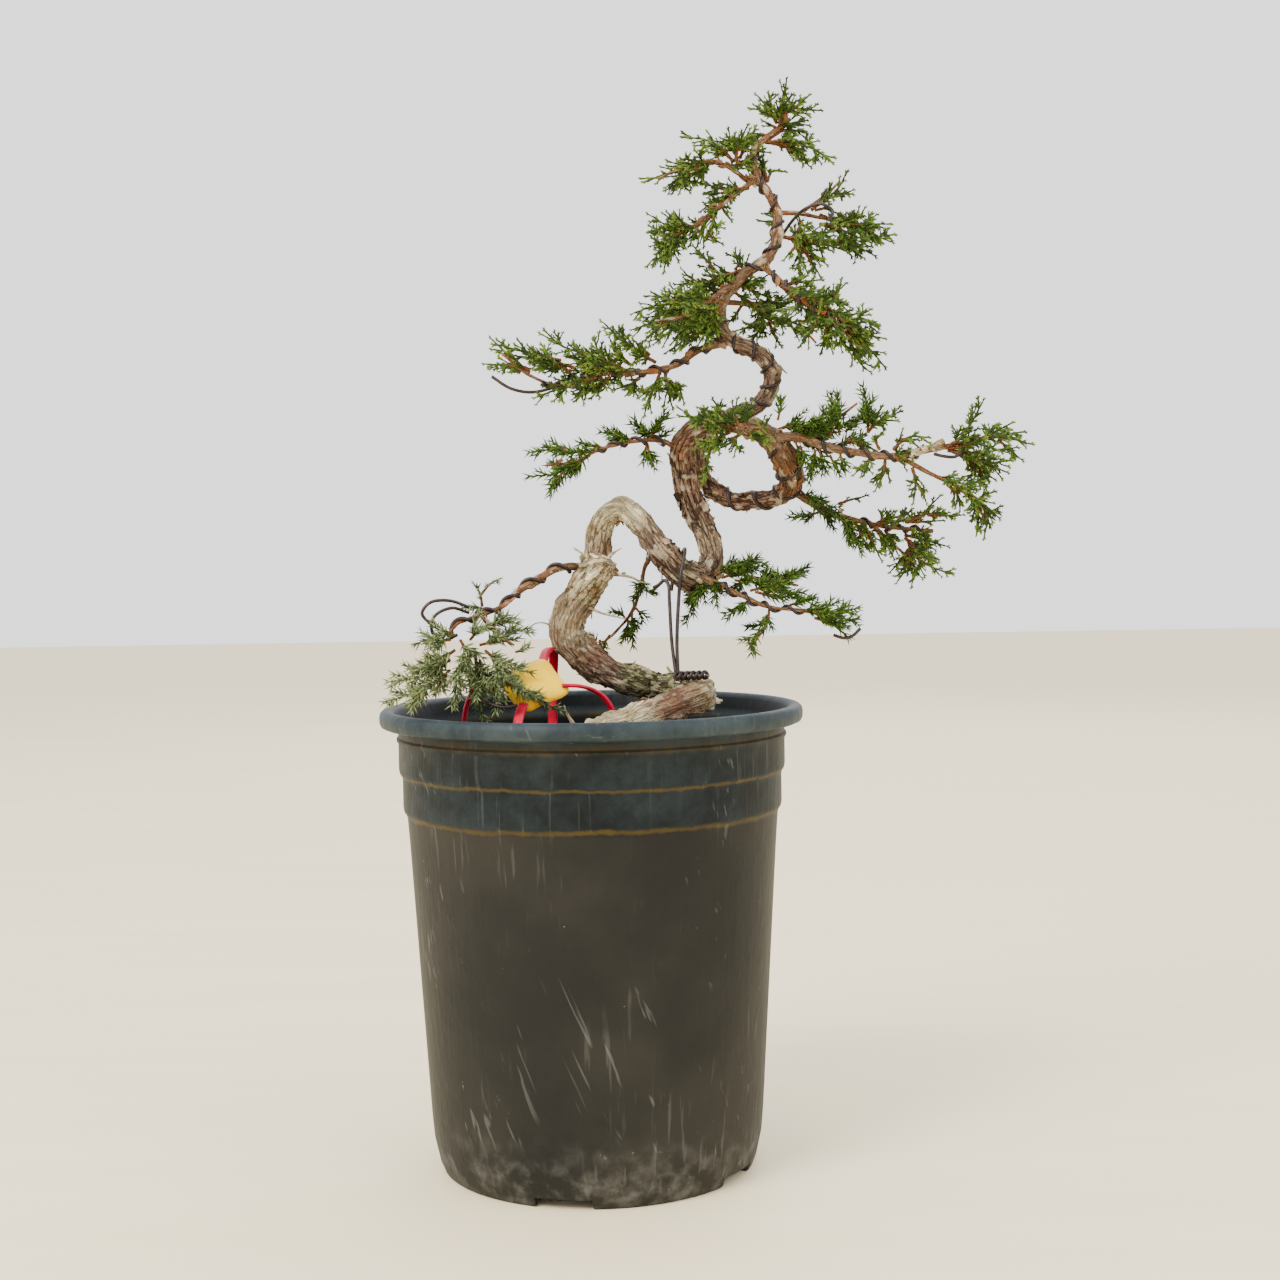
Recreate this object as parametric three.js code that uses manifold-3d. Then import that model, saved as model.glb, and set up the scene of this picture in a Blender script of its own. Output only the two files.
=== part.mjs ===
// Wired juniper, grown as a pre-bonsai, in a round plastic nursery pot.
// Millimetres, +Z up. The origin is the centre of the pot's base; -Y is the front of the tree.
import * as THREE from "three";
import { mergeVertices } from "three/addons/utils/BufferGeometryUtils.js";
import Module from "manifold-3d";

const wasm = await Module();
wasm.setup();

// ---------------------------------------------------------------- driving sizes
const potHeight = 180;
const bandRadius = 75.2; // the upper of the two bands under the lip
const lipReach = 7.3; // the lip stands out this far past the band
const lipHeight = 11;
const rimInset = 5.3; // from the lip's outer edge to the pot's mouth
const bandHeight = 15;
const bandStep = 1.4; // each band is this much narrower than the one above it
const wallThickness = 1.6;
const baseRadius = 60.5;
const cornerReach = 4.1; // the wall's foot stands out this far past the base
const cornerHeight = 14;
const floorThickness = 2;
const footWidth = 3.5;
const channelWidth = 17; // the raised drain channel between the foot and the flat middle
const channelHeight = 6;
const drainHoles = 8;
const drainHoleRadius = 4;
const notchCount = 5;
const notchWidth = 22;
const notchHeight = 4;
const notchTurn = -11; // degrees from the front to the first notch
const potSegments = 40;

const headspace = 22; // from the soil up to the rim
const soilGap = 0.3;
const barkGap = 0.35; // air between the bark and whatever grows or winds round it
const wireGap = 0.45;
const endRoom = 0.6; // air past a strand's end
const bendRoom = 0.9; // extra air where foliage is hollowed along a bending branch
const thinWire = 0.65; // radii
const thickWire = 0.75;
const markerThickness = 7;
const strapWidth = 3.2;
const strapThickness = 1.2;

const soilTop = potHeight - headspace;
const lipRadius = bandRadius + lipReach;
const wallFootRadius = baseRadius + cornerReach;
const channelOuter = baseRadius - footWidth;
const channelInner = channelOuter - channelWidth;

// ---------------------------------------------------------------- the tree's routes
// Every point is [x, y, z, radius], with z from the soil's surface. The trunk starts below the soil,
// runs up and right, turns back on itself, leans left, arches over, drops, climbs in a closed ring
// and then wanders to the top.
const trunk = [
  [-17, -32, -12, 6.2], [-15, -34, -1, 6.4], [-8, -36, 8, 6.4],
  [4, -35, 13.5, 6.4], [16, -32, 18, 6.3], [28, -27, 22, 6.3], [38, -19, 25, 6.2],
  [42, -8, 26, 6.2], [39, 4, 27.5, 6], [28, 9, 27.5, 5.8], [18, 10, 30, 5.8],
  [7, 8, 34, 6.2], [-3, 5, 41, 6.8], [-9, 2, 50, 7], [-7, 0, 59, 6.8], [-1, 0, 68, 6.2],
  [3, 2, 77, 5.3], [4, 4, 87, 4.9], [7, 3, 95, 4.8], [13, 1, 98.5, 4.8], [18, -1, 95, 4.9],
  [23, -3, 89, 5], [29, -5, 80, 5.2], [36, -4, 73, 5.4], [43, 1, 71.5, 5], [48, 6, 78, 4.8],
  [46, 8, 88, 4.7], [41, 8, 100, 4.7], [38, 6, 111, 4.6], [37, 2, 121, 4.5], [41, -4, 128, 4.4],
  [49, -9, 131, 4.3], [59, -12, 130, 4.3], [70, -12, 125, 4.3], [76.5, -9, 117, 4.6],
  [79, -3, 109, 4.6], [76, 4, 103.5, 3.6], [67, 10, 101, 3.2], [56, 14, 102, 3.2],
  [47, 17.5, 108, 3.2], [43.5, 18, 117, 3.1], [44, 16, 125, 3.1], [50, 11, 131, 3.1],
  [60, 6, 135, 3.2], [68, 4.5, 139, 3.1], [72, 3, 146, 3.1], [70.5, 1, 154, 3], [65, 0, 159, 2.9],
  [58, 0, 162, 2.7], [53, 2, 168, 2.5], [53, 4, 176, 2.3], [57, 3, 183, 2.1], [63, 0, 189, 2],
  [70, -2, 193, 2], [74, -1, 200, 1.9], [75, 0, 206, 1.8], [75, 2, 213, 1.7], [72, 2, 219, 1.6],
  [68, 1, 225, 1.5], [66, 0, 231, 1.4], [67, 0, 237, 1.3], [72, 2, 241, 1.2], [78, 3, 246, 1.1],
  [79, 3, 253, 1],
];
const stump = [[-5, 0, 62, 6.6], [0, -5, 70, 7.2], [6, -10, 77.5, 6.2]];
const branchTopLeft = [[69, 2, 223, 1.3], [64, 0, 224, 1.3], [59, -4, 227, 1.2], [50, -10, 230, 1],
  [39, -15, 227, 0.9], [29, -18, 222, 0.8]];
const branchHangingLeft = [[67, 0, 225, 1.3], [60, -4, 219, 1.1], [51, -10, 212, 1],
  [42, -13, 205, 0.9], [32, -15, 200, 0.8]];
const branchUpperRight = [[75, 2, 212, 1.3], [83, 4, 212, 1.2], [92, 8, 211, 1.1],
  [105, 14, 209, 0.9], [116, 17, 205, 0.8]];
const twigUpperRight = [[84, 4, 212, 1], [91, 8, 217, 0.9], [97, 12, 222, 0.8], [101, 14, 226, 0.8]];
const branchDenseFront = [[58, 2.5, 185, 1.5], [53, -8, 181, 1.4], [45, -18, 174, 1.2],
  [36, -26, 169, 1], [27, -32, 167, 0.8]];
const branchDenseBack = [[62, 1, 188, 1.4], [54, 8, 187, 1.2], [43, 16, 185, 1], [33, 20, 181, 0.8]];
const branchMidRight = [[68, -1.5, 192, 1.5], [76, -8, 184, 1.4], [84, -12, 176, 1.2],
  [94, -14, 169, 1.1], [104, -14, 162, 0.9], [110, -14, 156, 0.8]];
const branchMidRightBack = [[54, 3, 178, 1.4], [64, 12, 178, 1.2], [74, 20, 174, 1],
  [85, 24, 171, 0.9], [92, 26, 164, 0.8]];
const branchLongLeft = [[57, 0, 163, 2], [44, -4, 159, 1.9], [35, -8, 153, 1.7], [21, -12, 150, 1.5],
  [6, -16, 149, 1.3], [-9, -18, 145, 1.1], [-21, -20, 149, 1], [-31, -22, 157, 0.8]];
const branchMidLeft = [[37.5, 3, 119, 1.5], [30, -3, 124, 1.3], [19, -10, 124, 1.1],
  [6, -15, 121, 1], [-5, -18, 116, 0.9], [-15, -20, 115, 0.8]];
const branchRight = [[70, -11.5, 125, 2.4], [81, -18, 124, 2.3], [92, -22, 120, 2.1],
  [106, -24, 117, 1.9], [118, -24, 116, 1.8], [129, -22, 118, 1.8], [142, -20, 121, 1.1],
  [154, -18, 123, 0.9], [164, -16, 122, 0.8]];
const branchRightDroop = [[118, -24, 116, 1.2], [130, -26, 109, 1], [141, -26, 103, 0.9],
  [149, -25, 94, 0.8], [151, -24, 89, 0.8]];
const twigRightUp = [[86, -20, 123, 1.1], [96, -14, 131, 0.9], [104, -11, 137, 0.8]];
const branchRingTop = [[48, -8.5, 131, 1.2], [53, -18, 130, 1], [60, -26, 128, 0.9],
  [66, -30, 127, 0.8]];
const branchRightLow = [[77.5, 1.5, 106, 1.8], [88, 6, 99, 1.6], [101, 12, 94, 1.5],
  [118, 16, 90, 1.5], [137, 18, 88, 1.5]];
const twigRightLow = [[111, 14, 92, 1], [123, 16, 81, 0.9], [131, 17, 74, 0.8]];
const branchBottomRight = [[41, -1, 73, 1.8], [49, -9, 69, 1.5], [59, -14, 64, 1.3],
  [68, -18, 60, 1.2], [82, -20, 58, 1], [95, -20, 55, 0.8]];
const branchBottomBack = [[46, 3.5, 75, 1.4], [59, 10, 72, 1.1], [68, 14, 70, 1],
  [83, 18, 67, 0.8]];
const branchInner = [[27, -4, 83, 1.4], [22, 6, 76, 1.2], [20, 12, 67, 1.1], [16, 17, 57, 1],
  [9, 18, 49, 0.9], [2, 17, 43, 0.8]];
const branchBottomLeft = [[2, 1, 75.5, 2], [-10, -8, 76, 1.9], [-19, -13, 72, 1.8],
  [-27, -19, 67, 1.7], [-32, -26, 62, 1.5], [-40, -34, 59, 1.4], [-48, -42, 56, 1.2],
  [-51, -48, 52, 1.1]];
const branchOverMarker = [[-40, -34, 59, 1.1], [-33, -41, 52, 1], [-27, -45, 48, 0.8]];

const strands = [trunk, stump, branchTopLeft, branchHangingLeft, branchUpperRight, twigUpperRight,
  branchDenseFront, branchDenseBack, branchMidRight, branchMidRightBack, branchLongLeft,
  branchMidLeft, branchRight, branchRightDroop, twigRightUp, branchRingTop, branchRightLow,
  twigRightLow, branchBottomRight, branchBottomBack, branchInner, branchBottomLeft,
  branchOverMarker];

// ---------------------------------------------------------------- solids
function solidOf(geometry) {
  const bare = geometry.clone();
  bare.deleteAttribute("normal");
  bare.deleteAttribute("uv");
  const merged = mergeVertices(bare, 1e-4);
  return new wasm.Manifold(new wasm.Mesh({
    numProp: 3,
    vertProperties: new Float32Array(merged.attributes.position.array),
    triVerts: new Uint32Array(merged.index.array),
  }));
}

function geometryOf(solid) {
  const mesh = solid.getMesh();
  const geometry = new THREE.BufferGeometry();
  geometry.setAttribute("position", new THREE.BufferAttribute(mesh.vertProperties, 3));
  geometry.setIndex(new THREE.BufferAttribute(mesh.triVerts, 1));
  return geometry;
}

function joined(solids) {
  return solids.reduce((sum, solid) => sum.add(solid));
}

function routeCurve(points) {
  const places = points.map(([x, y, z]) => new THREE.Vector3(x, y, z));
  return new THREE.CatmullRomCurve3(places, false, "centripetal");
}

function radiusAlong(points, t) {
  const place = t * (points.length - 1);
  const before = Math.min(Math.floor(place), points.length - 2);
  return THREE.MathUtils.lerp(points[before][3], points[before + 1][3], place - before);
}

// A closed tube swept along a curve: ring(u, index) gives the radius at each step.
function sweptTube(curve, steps, sides, radiusAt) {
  const frames = curve.computeFrenetFrames(steps, false);
  const position = [];
  const index = [];
  for (let step = 0; step <= steps; step += 1) {
    const centre = curve.getPointAt(step / steps);
    const radius = radiusAt(curve.getUtoTmapping(step / steps));
    for (let side = 0; side < sides; side += 1) {
      const angle = (2 * Math.PI * side) / sides;
      const place = centre.clone()
        .addScaledVector(frames.normals[step], radius * Math.cos(angle))
        .addScaledVector(frames.binormals[step], radius * Math.sin(angle));
      position.push(place.x, place.y, place.z);
    }
  }
  for (let step = 0; step < steps; step += 1) {
    for (let side = 0; side < sides; side += 1) {
      const a = step * sides + side;
      const b = step * sides + ((side + 1) % sides);
      index.push(a, b, b + sides, a, b + sides, a + sides);
    }
  }
  const last = steps * sides;
  for (let side = 1; side < sides - 1; side += 1) {
    index.push(0, side + 1, side);
    index.push(last, last + side, last + side + 1);
  }
  const geometry = new THREE.BufferGeometry();
  geometry.setAttribute("position", new THREE.Float32BufferAttribute(position, 3));
  geometry.setIndex(index);
  return geometry;
}

function strandSolid(points, extra = 0) {
  const curve = routeCurve(points);
  const thick = points[0][3] > 3;
  const steps = Math.max(3, Math.ceil(curve.getLength() / (thick ? 6 : 9)));
  const sides = thick ? 8 : 5;
  return solidOf(sweptTube(curve, steps, sides, (t) => radiusAlong(points, t) + extra));
}

// A route carried on a little past both of its ends.
function carriedOn(points) {
  const beyond = (end, inner) => end.map((value, axis) => (
    axis < 3 ? value + (value - inner[axis]) * endRoom / Math.hypot(
      end[0] - inner[0], end[1] - inner[1], end[2] - inner[2]) : value));
  return [beyond(points[0], points[1]), ...points, beyond(points.at(-1), points.at(-2))];
}

// The room that a strand and the wire on it take, as a coarse tube whose flats clear them.
function roomTube(route, extra) {
  const points = carriedOn(route);
  const curve = routeCurve(points);
  const thick = points[0][3] > 3;
  const steps = Math.max(2, Math.ceil(curve.getLength() / (thick ? 7 : 13)));
  const sides = thick ? 8 : 6;
  const flat = Math.cos(Math.PI / sides);
  return sweptTube(curve, steps, sides, (t) => (radiusAlong(points, t) + extra) / flat);
}

// ---------------------------------------------------------------- pot and soil
// The pot's wall outside, from its foot up to its mouth, and then inside, back down.
function potWall() {
  const bandTop = potHeight - lipHeight;
  const upperFoot = bandTop - bandHeight;
  const lowerFoot = upperFoot - bandHeight;
  const lower = bandRadius - bandStep;
  const wallTop = lower - bandStep;
  const mouth = lipRadius - rimInset;
  const skin = wallThickness;
  const outside = [
    [channelOuter, 0], [baseRadius, 0], [baseRadius + 2.5, cornerHeight * 0.4],
    [wallFootRadius, cornerHeight], [wallTop, lowerFoot], [lower, lowerFoot + 2],
    [lower, upperFoot], [bandRadius, upperFoot + 2], [bandRadius, bandTop - 1],
    [lipRadius - 5, bandTop + 1.5], [lipRadius - 1.2, bandTop + 4.5], [lipRadius, bandTop + 7],
    [lipRadius, potHeight - 1.5], [lipRadius - 1.5, potHeight], [mouth, potHeight],
  ];
  const inside = [
    [bandRadius - 0.2, bandTop + 2], [bandRadius - skin, bandTop - 2],
    [bandRadius - skin, upperFoot + 2.5], [lower - skin, upperFoot + 0.5],
    [lower - skin, lowerFoot + 2.5], [wallTop - skin, lowerFoot + 0.5],
    [wallFootRadius - skin, cornerHeight], [channelOuter + 3, channelHeight + floorThickness],
    [channelInner - floorThickness, channelHeight + floorThickness],
    [channelInner - floorThickness - 2, floorThickness],
    [0, floorThickness], [0, 0], [channelInner, 0], [channelInner + 2, channelHeight],
    [channelOuter - 1, channelHeight],
  ];
  return { outside, inside };
}

function lathe(profile, segments) {
  const points = profile.map(([radius, z]) => new THREE.Vector2(radius, z));
  const geometry = new THREE.LatheGeometry(points, segments);
  return geometry.rotateX(Math.PI / 2);
}

function pot() {
  const { outside, inside } = potWall();
  const profile = [...outside, ...inside, outside[0]];
  let solid = solidOf(lathe(profile, potSegments));
  for (let index = 0; index < notchCount; index += 1) {
    const notch = new THREE.BoxGeometry(notchWidth, 12, notchHeight + 2);
    notch.translate(0, -baseRadius, notchHeight / 2 - 1);
    notch.rotateZ(THREE.MathUtils.degToRad(notchTurn + (360 / notchCount) * index));
    solid = solid.subtract(solidOf(notch));
  }
  for (let index = 0; index < drainHoles; index += 1) {
    const hole = new THREE.CylinderGeometry(drainHoleRadius, drainHoleRadius, 8, 8);
    hole.rotateX(Math.PI / 2);
    hole.translate((channelInner + channelOuter) / 2, 0, channelHeight + floorThickness / 2);
    hole.rotateZ(THREE.MathUtils.degToRad((360 / drainHoles) * index));
    solid = solid.subtract(solidOf(hole));
  }
  return solid;
}

// The soil fills the pot up to its headspace, a small gap inside the wall and round the trunk.
function soil() {
  const trunkHole = solidOf(roomTube(trunk, barkGap).translate(0, 0, soilTop));
  const { inside } = potWall();
  const wall = inside.filter(([, z]) => z < soilTop);
  const below = wall[0];
  const above = inside[inside.indexOf(below) - 1];
  const share = (soilTop - below[1]) / (above[1] - below[1]);
  const edge = THREE.MathUtils.lerp(below[0], above[0], share);
  const floor = wall.slice(0, wall.findIndex(([radius]) => radius === 0) + 1);
  const profile = [[0, soilTop], [edge - soilGap, soilTop]];
  for (const [radius, z] of floor) {
    const lift = z < cornerHeight ? soilGap : 0;
    profile.push([Math.max(0, radius - soilGap), z + lift]);
  }
  profile.push([0, soilTop]);
  return solidOf(lathe(profile.reverse(), potSegments)).subtract(trunkHole);
}

// ---------------------------------------------------------------- foliage
// A pad is a few flattened puffs, [x, y, z, half width, half depth, half height], joined up.
function pad(puffs, clearOf) {
  const solids = puffs.map(([x, y, z, halfWidth, halfDepth, halfHeight]) => {
    const puff = new THREE.IcosahedronGeometry(1, 1);
    puff.scale(halfWidth, halfDepth, halfHeight);
    puff.translate(x, y, z);
    return solidOf(puff);
  });
  return joined(solids).subtract(clearOf);
}

const pads = {
  foliage_apex: [[80, 3, 252, 12, 8, 9], [89, 2, 239, 13, 8, 8]],
  foliage_top_left: [[34, -17, 226, 11, 8, 8], [45, -12, 231, 10, 8, 8], [55, -7, 234, 11, 9, 9]],
  foliage_hanging_left: [[32, -15, 200, 11, 8, 8], [41, -13, 205, 9, 8, 8], [50, -9, 210, 9, 8, 8]],
  foliage_upper_right: [[110, 14, 207, 12, 8, 8], [98, 11, 210, 11, 9, 9], [88, 6, 210, 10, 9, 9],
    [100, 13, 221, 7, 7, 8]],
  foliage_dense_left: [[31, -28, 167, 13, 10, 10], [41, -21, 173, 13, 10, 11],
    [51, -13, 180, 12, 9, 11]],
  foliage_dense_back: [[36, 18, 182, 12, 9, 8], [47, 13, 187, 11, 9, 8]],
  foliage_mid_right: [[84, -11, 176, 12, 9, 9], [95, -13, 169, 13, 9, 10],
    [106, -14, 160, 11, 9, 11]],
  foliage_mid_right_back: [[75, 19, 173, 12, 9, 8], [87, 23, 169, 12, 9, 9]],
  foliage_long_left: [[-27, -21, 155, 11, 9, 9], [-12, -19, 149, 14, 9, 10],
    [4, -16, 149, 14, 9, 10], [18, -12, 150, 12, 9, 9], [29, -5, 146, 9, 11, 9]],
  foliage_mid_left: [[-12, -20, 115, 11, 8, 8], [0, -17, 118, 12, 8, 8],
    [12, -13, 122, 12, 8, 8], [23, -8, 124, 8, 8, 8]],
  foliage_ring_top: [[57, -24, 129, 15, 11, 7]],
  foliage_right: [[88, -20, 125, 11, 9, 10], [98, -21, 123, 12, 10, 11], [107, -22, 120, 9, 9, 10]],
  foliage_right_tip: [[143, -21, 119, 12, 8, 9], [159, -18, 123, 12, 7, 9],
    [143, -25, 106, 11, 8, 10], [148, -25, 95, 9, 7, 10]],
  foliage_right_low: [[93, 9, 97, 12, 9, 9], [105, 13, 92, 13, 9, 10], [118, 16, 87, 12, 9, 10],
    [128, 17, 82, 10, 8, 10]],
  foliage_bottom_right: [[56, -13, 66, 10, 9, 9], [68, -17, 61, 12, 9, 10],
    [82, -20, 58, 13, 9, 9], [93, -20, 55, 10, 8, 8], [65, -18, 49, 7, 6, 8]],
  foliage_bottom_back: [[63, 11, 71, 11, 9, 8], [75, 15, 68, 12, 9, 8]],
  foliage_inner: [[17, 16, 59, 8, 8, 9], [12, 18, 51, 9, 8, 9], [4, 19, 44, 9, 8, 8]],
  foliage_bottom_left: [[-51, -45, 47, 13, 12, 13], [-66, -46, 38, 13, 10, 9],
    [-46, -59, 37, 12, 11, 10], [-35, -42, 53, 9, 8, 8]],
};

// ---------------------------------------------------------------- wires
// A wire wound round a strand, from one of its route's points to another, fractions allowed.
function woundWire(points, from, to, turns, wireRadius) {
  const strand = routeCurve(points);
  const lengths = strand.getLengths((points.length - 1) * 20);
  const share = (place) => lengths[Math.round(place * 20)] / lengths.at(-1);
  const count = Math.round(turns * 8);
  const frameSteps = 400;
  const frames = strand.computeFrenetFrames(frameSteps, false);
  const places = [];
  for (let step = 0; step <= count; step += 1) {
    const u = THREE.MathUtils.lerp(share(from), share(to), step / count);
    const frame = Math.round(u * frameSteps);
    const angle = (2 * Math.PI * turns * step) / count;
    const reach = radiusAlong(points, strand.getUtoTmapping(u)) + wireGap + wireRadius * 1.15;
    places.push(strand.getPointAt(u)
      .addScaledVector(frames.normals[frame], reach * Math.cos(angle))
      .addScaledVector(frames.binormals[frame], reach * Math.sin(angle)));
  }
  return { places, wireRadius };
}

function wireSolid({ places, wireRadius }) {
  const curve = new THREE.CatmullRomCurve3(places, false, "centripetal");
  return sweptTube(curve, places.length - 1, 4, () => wireRadius);
}

const wires = {
  wire_bottom_left: woundWire(branchBottomLeft, 1.2, 6.4, 6, thickWire),
  wire_long_left: woundWire(branchLongLeft, 0.6, 4.6, 6, thinWire),
  wire_ring: woundWire(trunk, 36.2, 38.6, 3, thickWire),
  wire_upper_trunk: woundWire(trunk, 44.4, 47.4, 3, thinWire),
  wire_crown_trunk: woundWire(trunk, 53.5, 55.5, 2, thinWire),
  wire_right: woundWire(branchRight, 2.2, 3.7, 4, thinWire),
  wire_right_low: woundWire(branchRightLow, 3.1, 3.95, 4, thinWire),
  wire_bottom_right: woundWire(branchBottomRight, 1.3, 4.3, 5, thinWire),
  wire_mid_left: woundWire(branchMidLeft, 1.2, 3.2, 3, thinWire),
  wire_mid_right: woundWire(branchMidRight, 1.2, 3.2, 4, thinWire),
};

// The guy wire loops over the trunk where it dips and is pulled down to the low bend.
const guyRoute = [[33, -16.5, 32], [33.2, -14.5, 47], [34.5, -13, 64], [35.5, -12.5, 73],
  [37.3, -8.2, 81.4], [36.8, 1, 81.8], [33.5, 5.5, 74], [32, 4.5, 65], [31, -4, 51],
  [31.4, -13, 37]];
function guyWire() {
  const places = guyRoute.map(([x, y, z]) => new THREE.Vector3(x, y, z));
  return wireSolid({ places, wireRadius: thinWire });
}

// ---------------------------------------------------------------- marker
const markerCentre = new THREE.Vector3(-21, -30, 32);
const markerTilt = new THREE.Euler(THREE.MathUtils.degToRad(42), 0, THREE.MathUtils.degToRad(-15));
const markerReach = 11.5;
const markerBevel = 1.5;
const cornerRoom = 3.1; // from the outline's corner, past the bevel, to where a strap starts

function markerCap() {
  const outline = new THREE.Shape();
  for (let corner = 0; corner < 4; corner += 1) {
    const tip = (Math.PI / 2) * corner;
    const bay = tip + Math.PI / 4;
    outline.lineTo(Math.cos(tip) * markerReach, Math.sin(tip) * markerReach);
    outline.lineTo(Math.cos(bay) * markerReach * 0.74, Math.sin(bay) * markerReach * 0.74);
  }
  const cap = new THREE.ExtrudeGeometry(outline, {
    depth: markerThickness - 2 * markerBevel,
    bevelThickness: markerBevel,
    bevelSize: markerBevel,
    bevelSegments: 2,
  });
  return cap.translate(0, 0, markerBevel - markerThickness / 2);
}

// Each strap leaves a corner of the cap, arches over and comes down to the soil.
function strap(turn, route) {
  const corner = new THREE.Vector3(Math.cos(turn), Math.sin(turn), 0)
    .multiplyScalar(markerReach + cornerRoom)
    .applyEuler(markerTilt)
    .add(markerCentre);
  const places = route.map(([x, y, z]) => new THREE.Vector3(x, y, z));
  const foot = places.at(-1).clone().setZ(soilGap);
  const curve = new THREE.CatmullRomCurve3([corner, ...places, foot]);
  const section = new THREE.Shape();
  section.moveTo(-strapThickness / 2, -strapWidth / 2);
  section.lineTo(strapThickness / 2, -strapWidth / 2);
  section.lineTo(strapThickness / 2, strapWidth / 2);
  section.lineTo(-strapThickness / 2, strapWidth / 2);
  return new THREE.ExtrudeGeometry(section, { steps: 10, bevelEnabled: false, extrudePath: curve });
}

const straps = {
  marker_strap_right: [0, [[-1, -30, 30.5], [5, -25, 27], [9, -21.5, 21], [10.5, -20, 12]]],
  marker_strap_back: [Math.PI / 2, [[-16.8, -9, 43.6], [-15.2, 1, 44], [-14.8, 8, 42],
    [-15.2, 12.5, 36], [-15.8, 15.5, 26], [-16, 16.5, 11]]],
  marker_strap_left: [Math.PI, [[-41, -26, 33.5], [-45, -25, 29], [-47.5, -24, 21],
    [-48.5, -23.5, 11]]],
  marker_strap_front: [-Math.PI / 2, [[-25.5, -46.5, 22], [-26, -50, 17], [-26.2, -52, 10]]],
};

// ---------------------------------------------------------------- finishes and assembly
const finish = (color, roughness) => new THREE.MeshStandardMaterial({
  color, roughness, metalness: 0,
});
const potPlastic = finish(0x3b3f3c, 0.55);
const potSoil = finish(0x2b2119, 0.95);
const bark = finish(0x9a8069, 0.9);
const leaf = finish(0x3f6b2a, 0.7);
const wireCoat = finish(0x3a2a26, 0.5);
const yellowPlastic = finish(0xffd000, 0.4);
const redPlastic = finish(0xb5133f, 0.45);

const group = new THREE.Group();
const tree = new THREE.Group(); // everything that stands on the soil
tree.position.z = soilTop;
group.add(tree);

function add(parent, name, geometry, material) {
  const mesh = new THREE.Mesh(geometry, material);
  mesh.name = name;
  parent.add(mesh);
  return mesh;
}

// Foliage keeps clear of the bark, and of the wire on the strands that are wired.
const wood = joined(strands.map((points) => strandSolid(points)));
const wiredStrands = [trunk, branchBottomLeft, branchLongLeft, branchRight, branchRightLow,
  branchBottomRight, branchMidLeft, branchMidRight];
const wireRoom = wireGap + thickWire * 2.15;
const aroundTree = joined(strands.map((points) => solidOf(roomTube(
  points, bendRoom + (wiredStrands.includes(points) ? wireRoom : 0)))));

add(group, "nursery_pot", geometryOf(pot()), potPlastic);
add(group, "potting_soil", geometryOf(soil()), potSoil);
add(tree, "juniper_wood", geometryOf(wood), bark);
for (const [name, puffs] of Object.entries(pads)) {
  add(tree, name, geometryOf(pad(puffs, aroundTree)), leaf);
}
for (const [name, winding] of Object.entries(wires)) {
  add(tree, name, wireSolid(winding), wireCoat);
}
add(tree, "guy_wire", guyWire(), wireCoat);

const cap = add(tree, "marker_cap", markerCap(), yellowPlastic);
cap.position.copy(markerCentre);
cap.rotation.copy(markerTilt);
for (const [name, [turn, route]] of Object.entries(straps)) {
  add(tree, name, strap(turn, route), redPlastic);
}

export default group;
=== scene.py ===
# %% [markdown]
# # A wired juniper in a nursery pot
#
# The object is a young juniper that a grower has wired and bent into a bonsai shape. It stands in a
# round black plastic nursery pot, with a yellow feeding cap on red straps on its soil. The packed
# frame gives the places and sizes of everything. This lesson builds the looks round it: the pot's
# rolled lip and its worn plastic, a trunk with real relief and lifting bark, open sprays of foliage,
# and round wires wound along the branches.
#
# Each step says what the piece is on the real tree, how it could be made, and why it is made so.

# %% Load the frame
import random
from math import cos, pi, radians, sin, tau

import bpy
import numpy as np
from mathutils import Matrix, Vector, noise


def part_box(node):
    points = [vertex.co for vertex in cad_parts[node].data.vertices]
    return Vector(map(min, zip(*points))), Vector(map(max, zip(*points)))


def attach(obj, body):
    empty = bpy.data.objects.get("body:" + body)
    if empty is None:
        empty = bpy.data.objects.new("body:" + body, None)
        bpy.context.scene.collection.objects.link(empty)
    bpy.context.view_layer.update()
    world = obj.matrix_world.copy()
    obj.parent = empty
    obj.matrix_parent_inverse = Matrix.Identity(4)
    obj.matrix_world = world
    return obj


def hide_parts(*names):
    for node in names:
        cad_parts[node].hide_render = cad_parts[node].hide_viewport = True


MM = 0.001
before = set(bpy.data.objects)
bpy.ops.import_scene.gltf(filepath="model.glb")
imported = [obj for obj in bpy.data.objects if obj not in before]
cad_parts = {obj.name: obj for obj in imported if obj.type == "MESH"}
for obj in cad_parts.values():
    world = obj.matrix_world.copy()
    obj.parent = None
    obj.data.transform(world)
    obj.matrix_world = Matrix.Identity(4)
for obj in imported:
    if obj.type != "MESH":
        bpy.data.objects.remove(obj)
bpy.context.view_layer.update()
pot_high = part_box("nursery_pot")[1]
soil_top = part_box("potting_soil")[1].z
print("pot", round(pot_high.z, 3), "m high, soil at", round(soil_top, 3), "m")

# %% [markdown]
# ## Camera, floor and light
#
# The camera comes first, so that every piece can be judged from where the tree is seen: level with
# the top of the pot, a little over three quarters of a metre away, looking slightly down. A plain
# pale floor and large soft lamps keep the shadows faint, as in a bright room. The light is strongest
# from the upper left and the front, which rounds the pot without a hard edge.

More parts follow.
